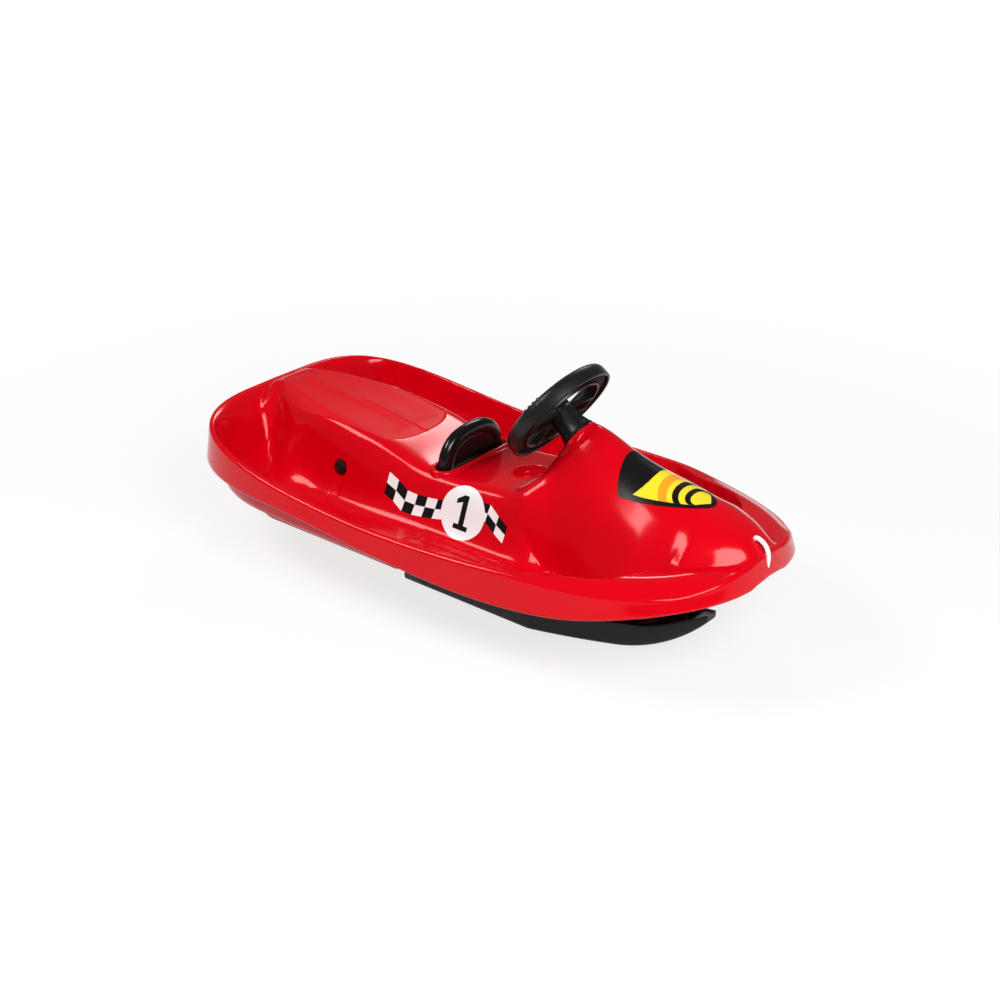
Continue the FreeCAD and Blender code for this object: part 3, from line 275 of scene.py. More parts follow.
def tread(x, y):
    """Height of the footwell's tread over the plain floor."""
    y = np.abs(y)
    slant = PAD_BACK_X - (y - PAD_INNER) * PAD_SLANT
    inside = np.minimum(np.minimum(y - PAD_INNER, PAD_OUTER - y), np.minimum(x - slant, PAD_FRONT_X - x))
    pad = smooth(0, PAD_EDGE, inside)
    row = np.floor((y - PAD_INNER) / RIB_PITCH)
    across = np.abs((y - PAD_INNER) / RIB_PITCH - row - 0.5) * RIB_PITCH
    phase = (x + row * RIB_LENGTH * 0.5) % RIB_LENGTH
    along = np.minimum(phase, RIB_LENGTH - phase)
    rib = (1 - smooth(*RIB_SIDE, across)) * smooth(*RIB_END, along) * smooth(*RIB_MARGIN, inside)
    return pad * PAD_RISE + rib * RIB_RISE


def detailed_top(x, y):
    """The hull's upper face with its moulded detail."""
    y = np.asarray(y, float)
    side = np.abs(y)
    groove = 1 - smooth(*GROOVE_SIDE, abs(x - GROOVE_X))
    moved = side + GROOVE_DEPTH * groove * smooth(*GROOVE_TOP, side) * (1 - smooth(*GROOVE_FOOT, side))
    z = hull_top(x, moved)
    margin = panel_margin(x, y)
    z = z - PANEL_DROP * smooth(*PANEL_EDGE, margin)
    z = z - PANEL_DISH * smooth(0, PANEL_DISH_RUN, margin) * (1 - np.exp(-(y / PANEL_MIDDLE) ** 2))
    crease = smooth(CREASE_BACK_X, CREASE_BACK_X + CREASE_RUN, x) * (x < PANEL_FRONT_X + 1)
    z = z - CREASE_DEPTH * crease * np.exp(-(y / CREASE_WIDTH) ** 2)
    return z + tread(x, y)


def surface(x, y):
    """A point on the hull's upper face and the direction square to it."""
    step = 1.0
    z = top_at(x, y)
    slope_x = (top_at(x + step, y) - top_at(x - step, y)) / (2 * step)
    slope_y = (top_at(x, y + step) - top_at(x, y - step)) / (2 * step)
    normal = np.array((-slope_x, -slope_y, 1.0))
    return np.array((x, y, z)), normal / np.linalg.norm(normal)


# Mesh helpers

def sharpen(work, degrees):
    """Marks the edges of a mesh in work that bend by more than an angle."""
    for edge in work.edges:
        if len(edge.link_faces) == 2 and edge.calc_face_angle() > math.radians(degrees):
            edge.smooth = False


class Builder:
    """Collects points and faces of one piece, in millimetres."""

    def __init__(self, points=(), faces=()):
        self.points = []
        self.faces = []
        self.add(points, faces)

    def add(self, points, faces):
        """Takes in more points, with faces that count from the first of them."""
        start = len(self.points)
        self.points.extend(tuple(point) for point in points)
        self.faces.extend(tuple(start + index for index in face) for face in faces)

    def piece(self, name, material, body, slot, node=None, sharp=35):
        """Makes the piece, smooth but for its sharp edges, and says where it belongs."""
        mesh = bpy.data.meshes.new(name)
        mesh.from_pydata([(x * MM, y * MM, z * MM) for x, y, z in self.points], [], self.faces)
        work = bmesh.new()
        work.from_mesh(mesh)
        bmesh.ops.remove_doubles(work, verts=work.verts, dist=1e-7)
        bmesh.ops.recalc_face_normals(work, faces=work.faces)
        for face in work.faces:
            face.smooth = True
        sharpen(work, sharp)
        work.to_mesh(mesh)
        work.free()
        item = bpy.data.objects.new(name, mesh)
        bpy.context.collection.objects.link(item)
        mesh.materials.append(material)
        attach(item, body)
        if node:
            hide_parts(node)
        return item


def mirrored(line):
    """A line's points in backward order, on the other side of zero."""
    return [(-across, up) for across, up in reversed(line)]


def grid_faces(rows, columns, wrap_rows=False, wrap_columns=False):
    """Four-sided faces of a grid of points, listed row by row."""
    faces = []
    for i in range(rows if wrap_rows else rows - 1):
        for j in range(columns if wrap_columns else columns - 1):
            a = i * columns + j
            b = i * columns + (j + 1) % columns
            c = ((i + 1) % rows) * columns + (j + 1) % columns
            d = ((i + 1) % rows) * columns + j
            faces.append((a, b, c, d))
    return faces


def revolved(profile, steps):
    """Points and faces of a closed profile of (radius, height) turned about Z."""
    points = []
    for step in range(steps):
        turn = 2 * math.pi * step / steps
        points.extend((r * math.cos(turn), r * math.sin(turn), z) for r, z in profile)
    return points, grid_faces(steps, len(profile), wrap_rows=True, wrap_columns=True)


def tube(path, radius, sides, closed=False):
    """A round tube along a path of points, with flat ends unless it is closed."""
    path = np.asarray(path, float)
    count = len(path)
    ahead = np.roll(path, -1, axis=0) - np.roll(path, 1, axis=0)
    if not closed:
        ahead[0] = path[1] - path[0]
        ahead[-1] = path[-1] - path[-2]
    ahead /= np.linalg.norm(ahead, axis=1)[:, None]
    side = np.cross(ahead[0], (0.3, 0.9, 0.31))
    points = []
    for index in range(count):
        side = side - ahead[index] * np.dot(side, ahead[index])
        side /= np.linalg.norm(side)
        other = np.cross(ahead[index], side)
        for k in range(sides):
            turn = 2 * math.pi * k / sides
            points.append(path[index] + radius * (math.cos(turn) * side + math.sin(turn) * other))
    faces = grid_faces(count, sides, wrap_rows=closed, wrap_columns=True)
    if not closed:
        faces.append(tuple(range(sides)))
        faces.append(tuple((count - 1) * sides + k for k in range(sides)))
    return points, faces


def rounded_box(low, high, radius, segments=2):
    """A box with every edge rounded."""
    work = bmesh.new()
    bmesh.ops.create_cube(work, size=1.0)
    for vert in work.verts:
        for axis in range(3):
            vert.co[axis] = low[axis] if vert.co[axis] < 0 else high[axis]
    bmesh.ops.bevel(work, geom=work.edges[:], offset=radius, segments=segments, profile=0.5, affect="EDGES")
    work.verts.index_update()
    points = [tuple(vert.co) for vert in work.verts]
    faces = [tuple(vert.index for vert in face.verts) for face in work.faces]
    work.free()
    return points, faces


def on_column(shape):
    """Points and faces given in the column's frame, in the shared frame."""
    points = np.asarray(shape[0], float)
    placed = WHEEL_CENTRE + points[:, :1] * COLUMN_X + points[:, 1:2] * COLUMN_Y + points[:, 2:] * COLUMN_Z
    return placed, shape[1]


def turned_about_z(shape, angle):
    """Points and faces turned about the Z axis by an angle in radians."""
    points = np.asarray(shape[0], float)
    cosine = math.cos(angle)
    sine = math.sin(angle)
    turned = np.stack((points[:, 0] * cosine - points[:, 1] * sine,
                       points[:, 0] * sine + points[:, 1] * cosine, points[:, 2]), axis=1)
    return turned, shape[1]


# Materials

WHITE = (1.0, 1.0, 1.0, 1.0)
PINK = (1.0, 0.45, 0.45, 1.0)
CLOUD_SCALE = 14.0
GLOSS_SPREAD = 0.15
GRAIN_DEPTH = 0.0004
COAT_ROUGHNESS = 0.05


def fill(node, numbers):
    """Sets a node's inputs by their names."""
    for name, number in numbers.items():
        node.inputs[name].default_value = number


def join(source, output, target, place):
    """Links an output of one node to an input of another."""
    source.id_data.links.new(source.outputs[output], target.inputs[place])


def material(name, colour, roughness, metallic=0.0, grain=0.0, grain_scale=400.0, spread=0.04, coat=0.0,
             shine=0.5, sheen=WHITE):
    """A moulded surface: a colour that varies a little, uneven gloss and a fine grain."""
    made = bpy.data.materials.new(name)
    made.use_nodes = True
    nodes = made.node_tree.nodes
    shader = nodes["Principled BSDF"]
    fill(shader, {"Metallic": metallic, "Coat Weight": coat, "Coat Roughness": COAT_ROUGHNESS,
                  "Specular IOR Level": shine, "Specular Tint": sheen})
    place = nodes.new("ShaderNodeTexCoord")
    cloud = nodes.new("ShaderNodeTexNoise")
    fill(cloud, {"Scale": CLOUD_SCALE, "Detail": 4.0})
    join(place, "Object", cloud, "Vector")
    shade = nodes.new("ShaderNodeMix")
    shade.data_type = "RGBA"
    shade.inputs[6].default_value = tuple(c * (1 - spread) for c in colour) + (1,)
    shade.inputs[7].default_value = tuple(min(c * (1 + spread), 1) for c in colour) + (1,)
    join(cloud, "Fac", shade, "Factor")
    join(shade, 2, shader, "Base Color")
    gloss = nodes.new("ShaderNodeMapRange")
    fill(gloss, {"To Min": roughness * (1 - GLOSS_SPREAD), "To Max": roughness * (1 + GLOSS_SPREAD)})
    join(cloud, "Fac", gloss, "Value")
    join(gloss, "Result", shader, "Roughness")
    if grain:
        fine = nodes.new("ShaderNodeTexNoise")
        fill(fine, {"Scale": grain_scale, "Detail": 3.0})
        join(place, "Object", fine, "Vector")
        bump = nodes.new("ShaderNodeBump")
        fill(bump, {"Strength": grain, "Distance": GRAIN_DEPTH})
        join(fine, "Fac", bump, "Height")
        join(bump, "Normal", shader, "Normal")
    return made


RED = material("red_gloss", (0.56, 0.0, 0.006), 0.13, grain=0.03, grain_scale=160.0, shine=0.40, sheen=PINK)
RED_MATTE = material("red_grain", (0.58, 0.004, 0.010), 0.42, grain=0.30, grain_scale=900.0, shine=0.22,
                     sheen=PINK)
BLACK = material("black_satin", (0.006, 0.006, 0.006), 0.36, grain=0.12, grain_scale=700.0, spread=0.2,
                 shine=0.28)
BLACK_GLOSS = material("black_gloss", (0.004, 0.004, 0.004), 0.20, grain=0.04, grain_scale=300.0,
                       shine=0.30)
STEEL = material("zinc_plate", (0.60, 0.61, 0.62), 0.33, metallic=1.0, grain=0.10, grain_scale=500.0,
                 spread=0.08)
ACETAL = material("white_acetal", (0.72, 0.72, 0.69), 0.42, grain=0.08, grain_scale=600.0)
PRINT_WHITE = material("print_white", (0.80, 0.78, 0.79), 0.20, spread=0.02, coat=0.2)
PRINT_BLACK = material("print_black", (0.005, 0.005, 0.005), 0.22, spread=0.1, shine=0.30)
PRINT_YELLOW = material("print_yellow", (0.86, 0.60, 0.02), 0.20, spread=0.03, coat=0.2)
PRINT_ORANGE = material("print_orange", (0.80, 0.30, 0.01), 0.20, spread=0.03, coat=0.2)
CORD = material("braided_cord", (0.78, 0.77, 0.75), 0.62, grain=0.6, grain_scale=900.0)


# Hull

SLOT_TURNS = 40
RECESS_RADIUS = 14.5
RECESS_SPAN = (100, 140)
CUT_SPAN = (DECK_Z - 60, DECK_Z + 40)
SHARP_CUT = 50.0

# Profiles as (radius, height)
AXLE_CAP = ((5.2, 0.0), (11.0, 0.0), (11.0, 4.0), (10.4, 5.6), (8.6, 6.8), (5.0, 7.6), (2.0, 7.8),
            (0.01, 7.8))
AXLE_SEAT = ((5.2, -4.0), (16.0, -4.0), (16.0, -0.6), (5.2, -0.6))

# Sections as (out, up): the skirt's foot, and the slot's lip, where None is the deck's own height
HEM = ((0.0, 1.2), (-0.6, 0.2), (-1.6, 0.0))
HEM_ROOM = 2.0
SKIRT_SHARES = (0.2, 0.45, 0.7, 0.9)
LIP = ((0.0, -SHELL), (0.0, 1.5), (0.8, 3.2), (2.4, 4.0), (4.6, 4.0), (6.4, 3.2), (7.6, 1.4), (8.6, -2.0),
       (10.0, None))

# The plate behind the wheel's hub, and the column's sleeve
PLATE_RADIUS = FACE_RADIUS + 0.5
PLATE_THICKNESS = 6.0
POCKET_RADIUS = FACE_RADIUS + 0.6
POCKET_END = 5.0
SLEEVE_BORE = 11.2
SLEEVE_RADIUS = 17.0
SLEEVE_END = -104.0

# Rows and columns of the hull's grid per mm: details as (middle, reach), other zones as (low, high, extra)
PLAIN_ROWS = 0.26
DETAIL_ROWS = 0.30
DETAIL_ZONES = ((CUP_X, CUP_RADIUS + 4), (HANDLE_X, SLOT_HALF_LENGTH + 4), (GROOVE_X, 13), (143, 47),
                (PANEL_FRONT_X - 8, 16))
END_RUN = 10.0
ROW_ZONES = ((PAD_BACK_X - 45, PAD_FRONT_X + 5, 0.12), (100, 185, 0.30), (350, 425, 0.25))
PLAIN_COLUMNS = 0.28
COLUMN_ZONES = ((205, HALF_WIDTH + 1, 0.50), (66, 210, 0.22), (-1, 7, 0.45))


def circle(radius):
    """Points of a circle about the origin."""
    turns = np.linspace(0, 2 * math.pi, 64, endpoint=False)
    return [(radius * math.cos(turn), radius * math.sin(turn)) for turn in turns]


def slot_outline(out=0.0):
    """The brake slot's outline in plan, moved out by a distance."""
    straight = SLOT_HALF_WIDTH - SLOT_HALF_LENGTH
    reach = SLOT_HALF_LENGTH + out
    line = []
    for middle, start in ((straight, 0.0), (-straight, math.pi)):
        for turn in start + (np.arange(SLOT_TURNS) + 0.5) * math.pi / SLOT_TURNS:
            line.append((HANDLE_X + reach * math.cos(turn), middle + reach * math.sin(turn)))
    return line


def prism(outline, low, high):
    """Points and faces of an outline drawn up from one height to another."""
    count = len(outline)
    points = [(x, y, low) for x, y in outline] + [(x, y, high) for x, y in outline]
    faces = grid_faces(2, count, wrap_columns=True)
    faces.append(tuple(range(count)))
    faces.append(tuple(range(count, 2 * count)))
    return points, faces


def cut(item, points, faces):
    """Takes a closed shape out of a piece and sharpens the edges it leaves."""
    mesh = bpy.data.meshes.new("cutter")
    mesh.from_pydata([(x * MM, y * MM, z * MM) for x, y, z in points], [], faces)
    work = bmesh.new()
    work.from_mesh(mesh)
    bmesh.ops.recalc_face_normals(work, faces=work.faces)
    work.to_mesh(mesh)
    work.free()
    tool = bpy.data.objects.new("cutter", mesh)
    bpy.context.collection.objects.link(tool)
    change = item.modifiers.new("cut", "BOOLEAN")
    change.object = tool
    change.operation = "DIFFERENCE"
    change.solver = "EXACT"
    bpy.context.view_layer.update()
    item.data = bpy.data.meshes.new_from_object(item.evaluated_get(bpy.context.evaluated_depsgraph_get()))
    item.modifiers.clear()
    bpy.data.objects.remove(tool)
    bpy.data.meshes.remove(mesh)
    work = bmesh.new()
    work.from_mesh(item.data)
    sharpen(work, SHARP_CUT)
    work.to_mesh(item.data)
    work.free()


def spaced(low, high, density):
    """Numbers from low to high, closer together where the density is higher."""
    fine = np.linspace(low, high, 8001)
    weight = density(fine)
    total = np.concatenate(([0], np.cumsum((weight[1:] + weight[:-1]) / 2 * np.diff(fine))))
    count = int(total[-1]) + 2
    return np.interp(np.linspace(0, total[-1], count), total, fine)


def denser(density, places, zones):
    """A density with each zone's extra added inside it."""
    for low, high, extra in zones:
        density = density + extra * ((places > low) & (places < high))
    return density


def lengthwise_density(x):
    """Rows of the hull's grid per mm: closer at its ends, at details and on slopes."""
    ends = np.minimum(x - TAIL_X, NOSE_X - x) - SHEET_INSET
    details = np.any([np.abs(x - middle) < reach for middle, reach in DETAIL_ZONES], axis=0)
    return denser(PLAIN_ROWS + np.exp(-ends / END_RUN) + details * DETAIL_ROWS, x, ROW_ZONES)


def crosswise_density(share):
    """Columns of the hull's grid over its half width, at a share of it."""
    return HALF_WIDTH * denser(PLAIN_COLUMNS, np.abs(share) * HALF_WIDTH, COLUMN_ZONES)


def hull_skin():
    """The upper face on a grid, then the rounded rim and the skirt round its edge."""
    xs = spaced(TAIL_X + SHEET_INSET, NOSE_X - SHEET_INSET, lengthwise_density)
    shares = spaced(-1, 1, crosswise_density)
    sheet = []
    for x in xs:
        y = shares * half_width(x, SHEET_INSET)
        sheet.extend(zip(np.full(len(y), x), y, detailed_top(x, y)))
    columns = len(shares)
    build = Builder(sheet, grid_faces(len(xs), columns))
    left = [i * columns + columns - 1 for i in range(len(xs))]
    right = [i * columns for i in range(len(xs) - 2, 0, -1)]
    rows = []
    for index in left + right:
        x, y, z = sheet[index]
        normal = outward(x, y)
        depth = through(SKIRT_STATIONS, x) - float(rim_roll(x, y))
        line = []
        for turn in np.linspace(0, math.pi / 2, 7):
            line.append((EDGE_RADIUS * math.sin(turn), EDGE_RADIUS * (math.cos(turn) - 1)))
        for share in SKIRT_SHARES:
            fall = (depth - EDGE_RADIUS - HEM_ROOM) * share
            line.append((EDGE_RADIUS + SKIRT_FLARE * share, -EDGE_RADIUS - fall))
        line.extend((EDGE_RADIUS + SKIRT_FLARE + out, -depth + up) for out, up in HEM)
        rows.append([(x + normal[0] * out, y + normal[1] * out, z + up) for out, up in line])
    count = len(rows[0])
    build.add([point for row in rows for point in row], grid_faces(len(rows), count, wrap_rows=True))
    item = build.piece("hull_skin", RED, "hull", "red_plastic", "hull_shell", sharp=60)
    work = bmesh.new()
    work.from_mesh(item.data)
    top = max(work.faces, key=lambda face: face.calc_center_median().z)
    if top.normal.z < 0:
        bmesh.ops.reverse_faces(work, faces=work.faces)
    item.data.materials.append(RED_MATTE)
    for face in work.faces:
        x, y, z = np.array(face.calc_center_median()) / MM
        if face.normal.z > 0.5 and panel_margin(x, np.array([y]))[0] > 0.5:
            face.material_index = 1
    work.to_mesh(item.data)
    work.free()
    shell = item.modifiers.new("shell", "SOLIDIFY")
    shell.thickness = SHELL * MM
    shell.offset = -1
    cut(item, *prism(slot_outline(), *CUT_SPAN))
    cut(item, *prism([(x + CUP_X, y) for x, y in circle(CUP_RADIUS)], *CUT_SPAN))
    cut(item, *on_column(prism(circle(POCKET_RADIUS), -FACE_DISTANCE - PLATE_THICKNESS, POCKET_END)))
    for side in (-1, 1):
        points, faces = prism(circle(RECESS_RADIUS), *RECESS_SPAN)
        cut(item, [(x + AXLE_X, side * z, y + AXLE_Z) for x, y, z in points], faces)


def slot_lip():
    """A rounded lip round the brake slot, with a foot that runs out into the deck."""
    rings = [slot_outline(out) for out, up in LIP]
    points = []
    for step in range(len(rings[0])):
        for ring, (out, up) in zip(rings, LIP):
            x, y = ring[step]
            foot = min(top_at(x, y) - DECK_Z, 0.0) - SHELL
            points.append((x, y, DECK_Z + (foot if up is None else up)))
    build = Builder(points, grid_faces(len(rings[0]), len(LIP), wrap_rows=True))
    build.piece("slot_lip", RED, "hull", "red_plastic", sharp=50)


def cup():
    """The round dish in the deck, with a low rounded lip."""
    lip = ((-0.2, -6.0), (3.0, -1.5), (2.4, 0.2), (1.2, 1.0), (0.0, 1.0), (-0.8, 0.2))
    foot = ((-1.6, 4.0), (-3.4, 1.0), (-6.0, 0.0), (0.01 - CUP_RADIUS, 0.0), (0.01 - CUP_RADIUS, -SHELL),
            (-4.0, -SHELL))
    profile = [(CUP_RADIUS + out, up) for out, up in lip]
    profile += [(CUP_RADIUS + out, up - CUP_DEPTH) for out, up in foot]
    points, faces = revolved(profile, 72)
    placed = []
    for x, y, z in points:
        deck = top_at(min(x + CUP_X, CONE_FOOT_X - 2), 0.0)
        placed.append((x + CUP_X, y, z + deck))
    build = Builder(placed, faces)
    build.piece("cup", RED, "hull", "red_plastic")


def cone_plate():
    """The plate that closes the cone behind the wheel's hub, with the column's sleeve."""
    face = -FACE_DISTANCE
    back = face - PLATE_THICKNESS
    profile = [(SLEEVE_BORE, face), (PLATE_RADIUS, face), (PLATE_RADIUS, back), (SLEEVE_RADIUS, back),
               (SLEEVE_RADIUS, SLEEVE_END), (SLEEVE_BORE, SLEEVE_END)]
    build = Builder(*on_column(revolved(profile, 72)))
    build.piece("cone_plate", RED, "hull", "red_plastic")


def axle_end(node, side):
    """A domed cap on the axle's end, and the seat it stands in."""
    low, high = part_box(node)
    inner = min(abs(low[1]), abs(high[1])) / MM
    for name, paint, slot, replaced, profile in (("cap_", BLACK, "black_plastic", node, AXLE_CAP),
                                                 ("seat_", RED, "red_plastic", None, AXLE_SEAT)):
        points, faces = revolved(profile, 48)
        build = Builder([(x + AXLE_X, side * (inner + z), y + AXLE_Z) for x, y, z in points], faces)
        build.piece(name + node, paint, "hull", slot, replaced)


# Under the hull: the sole and the tower that carries the mast

SOLE_REAR_X = -480.0
SOLE_FRONT_X = -125.0
SOLE_HALF = 100.0
SOLE_CORNER = 70.0
SOLE_EDGE = 4.0
WINDOW_HALF = 45.0
WINDOW_LOW = 88.0
WINDOW_HIGH = 260.0
CUT_ROOM = 12.0
CUT_ROUND = 2.0
CLAW_SLOT_REAR_X = -334.9
CLAW_SLOT_FRONT_X = -260.6
CLAW_SLOT_HALF = 35.0
MAST_X = 282.7
TOWER_LOW = 60.0
TOWER_HIGH = 174.0
TOWER_BORE = 16.2
TOWER_RADIUS = 24.0
TOWER_RIB_HALF = 1.8
TOWER_RIB_START = 22.0
TOWER_RIB_REACH = 85.0
TOWER_RIB_FALL = 66.0


def sole_outline(inset):
    """Plan of the sole, with round rear corners, from the front left round to the front right and back."""
    corner = SOLE_CORNER - inset
    half = SOLE_HALF - inset
    rear = SOLE_REAR_X + inset
    line = [(x, half) for x in np.linspace(SOLE_FRONT_X - inset, rear + corner, 24)]
    for turn in np.linspace(math.pi / 2, math.pi, 13)[1:]:
        line.append((rear + corner + corner * math.cos(turn), half - corner + corner * math.sin(turn)))
    mirrored = [(x, -y) for x, y in reversed(line)]
    front = [(SOLE_FRONT_X - inset, y) for y in np.linspace(-half, half, 16)[1:-1]]
    return line + mirrored + front


def sole_rows(profile):
    """Points of the sole's wall for each (inset, height), where None is the hull's own height."""
    points = []
    for inset, height in profile:
        for x, y in sole_outline(inset):
            points.append((x, y, top_at(x, y) - SHELL / 2 if height is None else height))
    return points


def rear_sole():
    """A hollow tray under the tail, with a window for the brake's arms and a slot for its claw."""
    outside = [(0.0, None)]
    for turn in np.linspace(0, math.pi / 2, 6):
        outside.append((SOLE_EDGE * (1 - math.cos(turn)), SOLE_EDGE * (1 - math.sin(turn))))
    inside = [(SOLE_EDGE, SHELL), (SHELL, SHELL + 1), (SHELL, None)]
    count = len(sole_outline(0.0))
    build = Builder(sole_rows(outside), grid_faces(len(outside), count, wrap_columns=True))
    start = len(build.points)
    build.faces.append(tuple(range(start - count, start)))
    build.add(sole_rows(inside), grid_faces(len(inside), count, wrap_columns=True))
    build.faces.append(tuple(range(start, start + count)))
    last = len(build.points) - count
    build.faces.extend((k, (k + 1) % count, last + (k + 1) % count, last + k) for k in range(count))
    item = build.piece("rear_sole", RED, "hull", "red_plastic", sharp=40)
    cut(item, *rounded_box((SOLE_FRONT_X - CUT_ROOM, -WINDOW_HALF, WINDOW_LOW),
                           (SOLE_FRONT_X + CUT_ROOM, WINDOW_HALF, WINDOW_HIGH), CUT_ROUND))
    cut(item, *rounded_box((CLAW_SLOT_REAR_X, -CLAW_SLOT_HALF, -CUT_ROOM),
                           (CLAW_SLOT_FRONT_X, CLAW_SLOT_HALF, CUT_ROOM), CUT_ROUND))


def mast_tower():
    """The mast's sleeve, with ribs that join it to the inside of the cone."""
    profile = [(TOWER_BORE, TOWER_LOW), (TOWER_RADIUS - 1, TOWER_LOW), (TOWER_RADIUS, TOWER_LOW + 1),
               (TOWER_RADIUS, TOWER_HIGH - 1), (TOWER_RADIUS - 1, TOWER_HIGH), (TOWER_BORE, TOWER_HIGH)]
    points, faces = revolved(profile, 48)
    build = Builder([(x + MAST_X, y, z) for x, y, z in points], faces)
    rib_top = top_at(MAST_X, TOWER_RIB_REACH) - 2 * SHELL
    for side in (-1, 1):
        points, faces = rounded_box((MAST_X - TOWER_RIB_HALF, TOWER_RIB_START, TOWER_HIGH - TOWER_RIB_FALL),
                                    (MAST_X + TOWER_RIB_HALF, TOWER_RIB_REACH, rib_top), 0.6)
        build.add([(x, y * side, z) for x, y, z in points], faces)
    build.piece("mast_tower", RED, "hull", "red_plastic")


hull_skin()
slot_lip()
cup()
cone_plate()
axle_end("axle_cap_right", -1)
axle_end("axle_cap_left", 1)
rear_sole()
mast_tower()


# Steering wheel

WHEEL_RADIUS = 94.0
GRIP_WIDTH = 27.0
GRIP_HALF = 13.5
GRIP_WALL = 4.5
GRIP_SIDE = -8.0
GRIP_ROUND = 0.85
WEB_COUNT = 84
WEB_HALF = 0.9
GRIP_RIB_ZONES = (math.radians(157), math.radians(23))
GRIP_RIB_STEP = math.radians(6)
GRIP_RIB_PATH = 13.0
GRIP_RIB_RADIUS = 2.1
SPOKE_TURNS = (math.pi, 0.0, -math.pi / 2)
SPOKE_START = 16.0
SPOKE_HALF = 15.0
SPOKE_WALL_Y = 13.6
SPOKE_WALL_HALF = 1.4
SPOKE_WEBS = (26.0, 37.0, 48.0, 59.0)
HUB_FRONT = -4.0
HUB_END = -51.2
HUB = ((7.0, HUB_FRONT), (19.5, HUB_FRONT), (20.8, HUB_FRONT - 1.5), (21.2, HUB_FRONT - 8), (22.6, -34.0),
       (25.8, HUB_END + 6), (27.8, HUB_END + 3), (28.0, HUB_END + 0.8), (27.2, HUB_END), (7.0, HUB_END))


def grip_section():
    """The rim's section about its middle: a round front, straight sides and a hollow back."""
    half = GRIP_WIDTH / 2
    back = -GRIP_HALF
    hollow = half - GRIP_WALL - 0.8
    side = [(half - 1.5, back), (half - 0.3, back + 1.2), (half, GRIP_SIDE)]
    lip = [(half - GRIP_WALL - 0.6, back + 1.0), (half - GRIP_WALL, back)]
    front = []
    for turn in np.linspace(0, math.pi, 15):
        front.append((half * math.cos(turn), GRIP_HALF * abs(math.sin(turn)) ** GRIP_ROUND))
    inside = [(hollow * math.cos(turn), 1.0 + 8.0 * math.sin(turn)) for turn in np.linspace(math.pi, 0, 9)]
    return side + front + mirrored(side) + mirrored(lip) + inside + lip


def spoke_parts(reach):
    """A spoke along X: its face, two side walls and the webs between them."""
    parts = [rounded_box((SPOKE_START, -SPOKE_HALF, -7.5), (reach, SPOKE_HALF, -4.2), 1.2)]
    for y in (-SPOKE_WALL_Y, SPOKE_WALL_Y):
        parts.append(rounded_box((SPOKE_START, y - SPOKE_WALL_HALF, -14.5),
                                 (reach, y + SPOKE_WALL_HALF, -5), 0.8))
    for x in SPOKE_WEBS:
        parts.append(rounded_box((x, -13, -12.5), (x + 2 * WEB_HALF, 13, -6), 0.4, 1))
    return parts


def steering_wheel():
    """A hollow-backed rim with webs, three hollow spokes, a conical hub and grip ribs."""
    outer = WHEEL_RADIUS
    inner = WHEEL_RADIUS - GRIP_WIDTH
    middle = WHEEL_RADIUS - GRIP_WIDTH / 2
    build = Builder(*on_column(revolved([(middle + across, up) for across, up in grip_section()], 144)))
    web = rounded_box((inner + GRIP_WALL - 0.5, -WEB_HALF, -9.5),
                      (outer - GRIP_WALL + 0.5, WEB_HALF, 8.0), 0.4, 1)
    for index in range(WEB_COUNT):
        build.add(*on_column(turned_about_z(web, 2 * math.pi * index / WEB_COUNT)))
    turns = np.linspace(0.15, math.pi - 0.15, 13)
    across = middle + GRIP_RIB_PATH * np.cos(turns)
    rise = GRIP_RIB_PATH * np.sin(turns) ** GRIP_ROUND
    rib = tube(np.stack((across, 0 * turns, rise), axis=1), GRIP_RIB_RADIUS, 8)
    for zone in GRIP_RIB_ZONES:
        for index in range(4):
            build.add(*on_column(turned_about_z(rib, zone + GRIP_RIB_STEP * (index - 1.5))))
    for turn in SPOKE_TURNS:
        for part in spoke_parts(inner + 1.5):
            build.add(*on_column(turned_about_z(part, turn)))
    build.add(*on_column(revolved(HUB, 72)))
    build.piece("wheel_skin", BLACK, "steering", "black_plastic", "steering_wheel", sharp=40)


steering_wheel()


# Brake handle

HANDLE_HALF = 75.0
HANDLE_RISE = 64.0
HANDLE_BASE = 188.0
HANDLE_DEPTH = 11.0
HANDLE_WEB = 8.6
HANDLE_FULLNESS = (0.8, 0.85)
HANDLE_ROLL = 9.5
HANDLE_CORE = 19.5
HANDLE_WEB_EDGE = 21.0
STEM_HALF = 30.0
STEM_DEPTH = 4.0
LUG_BORE = 3.1
LUG_RADIUS = 11.0

# The rolled edge's section, as (share of the depth, out from its middle)
DOME_SIDE = [(-0.78, -12.0), (-0.95, -8.5), (-1.0, -4.0), (-0.92, 2.0), (-0.72, 6.0), (-0.4, 8.6)]
DOME = DOME_SIDE + [(0.0, HANDLE_ROLL)] + mirrored(DOME_SIDE)


def half_moon_line(inset, count):
    """Points of the half-moon's edge, moved in by a distance, from the left foot over the top."""
    line = []
    for turn in np.linspace(0, math.pi, count):
        y = (HANDLE_HALF - inset) * math.copysign(abs(math.cos(turn)) ** HANDLE_FULLNESS[0], math.cos(turn))
        line.append((y, HANDLE_BASE + (HANDLE_RISE - inset) * abs(math.sin(turn)) ** HANDLE_FULLNESS[1]))
    return line


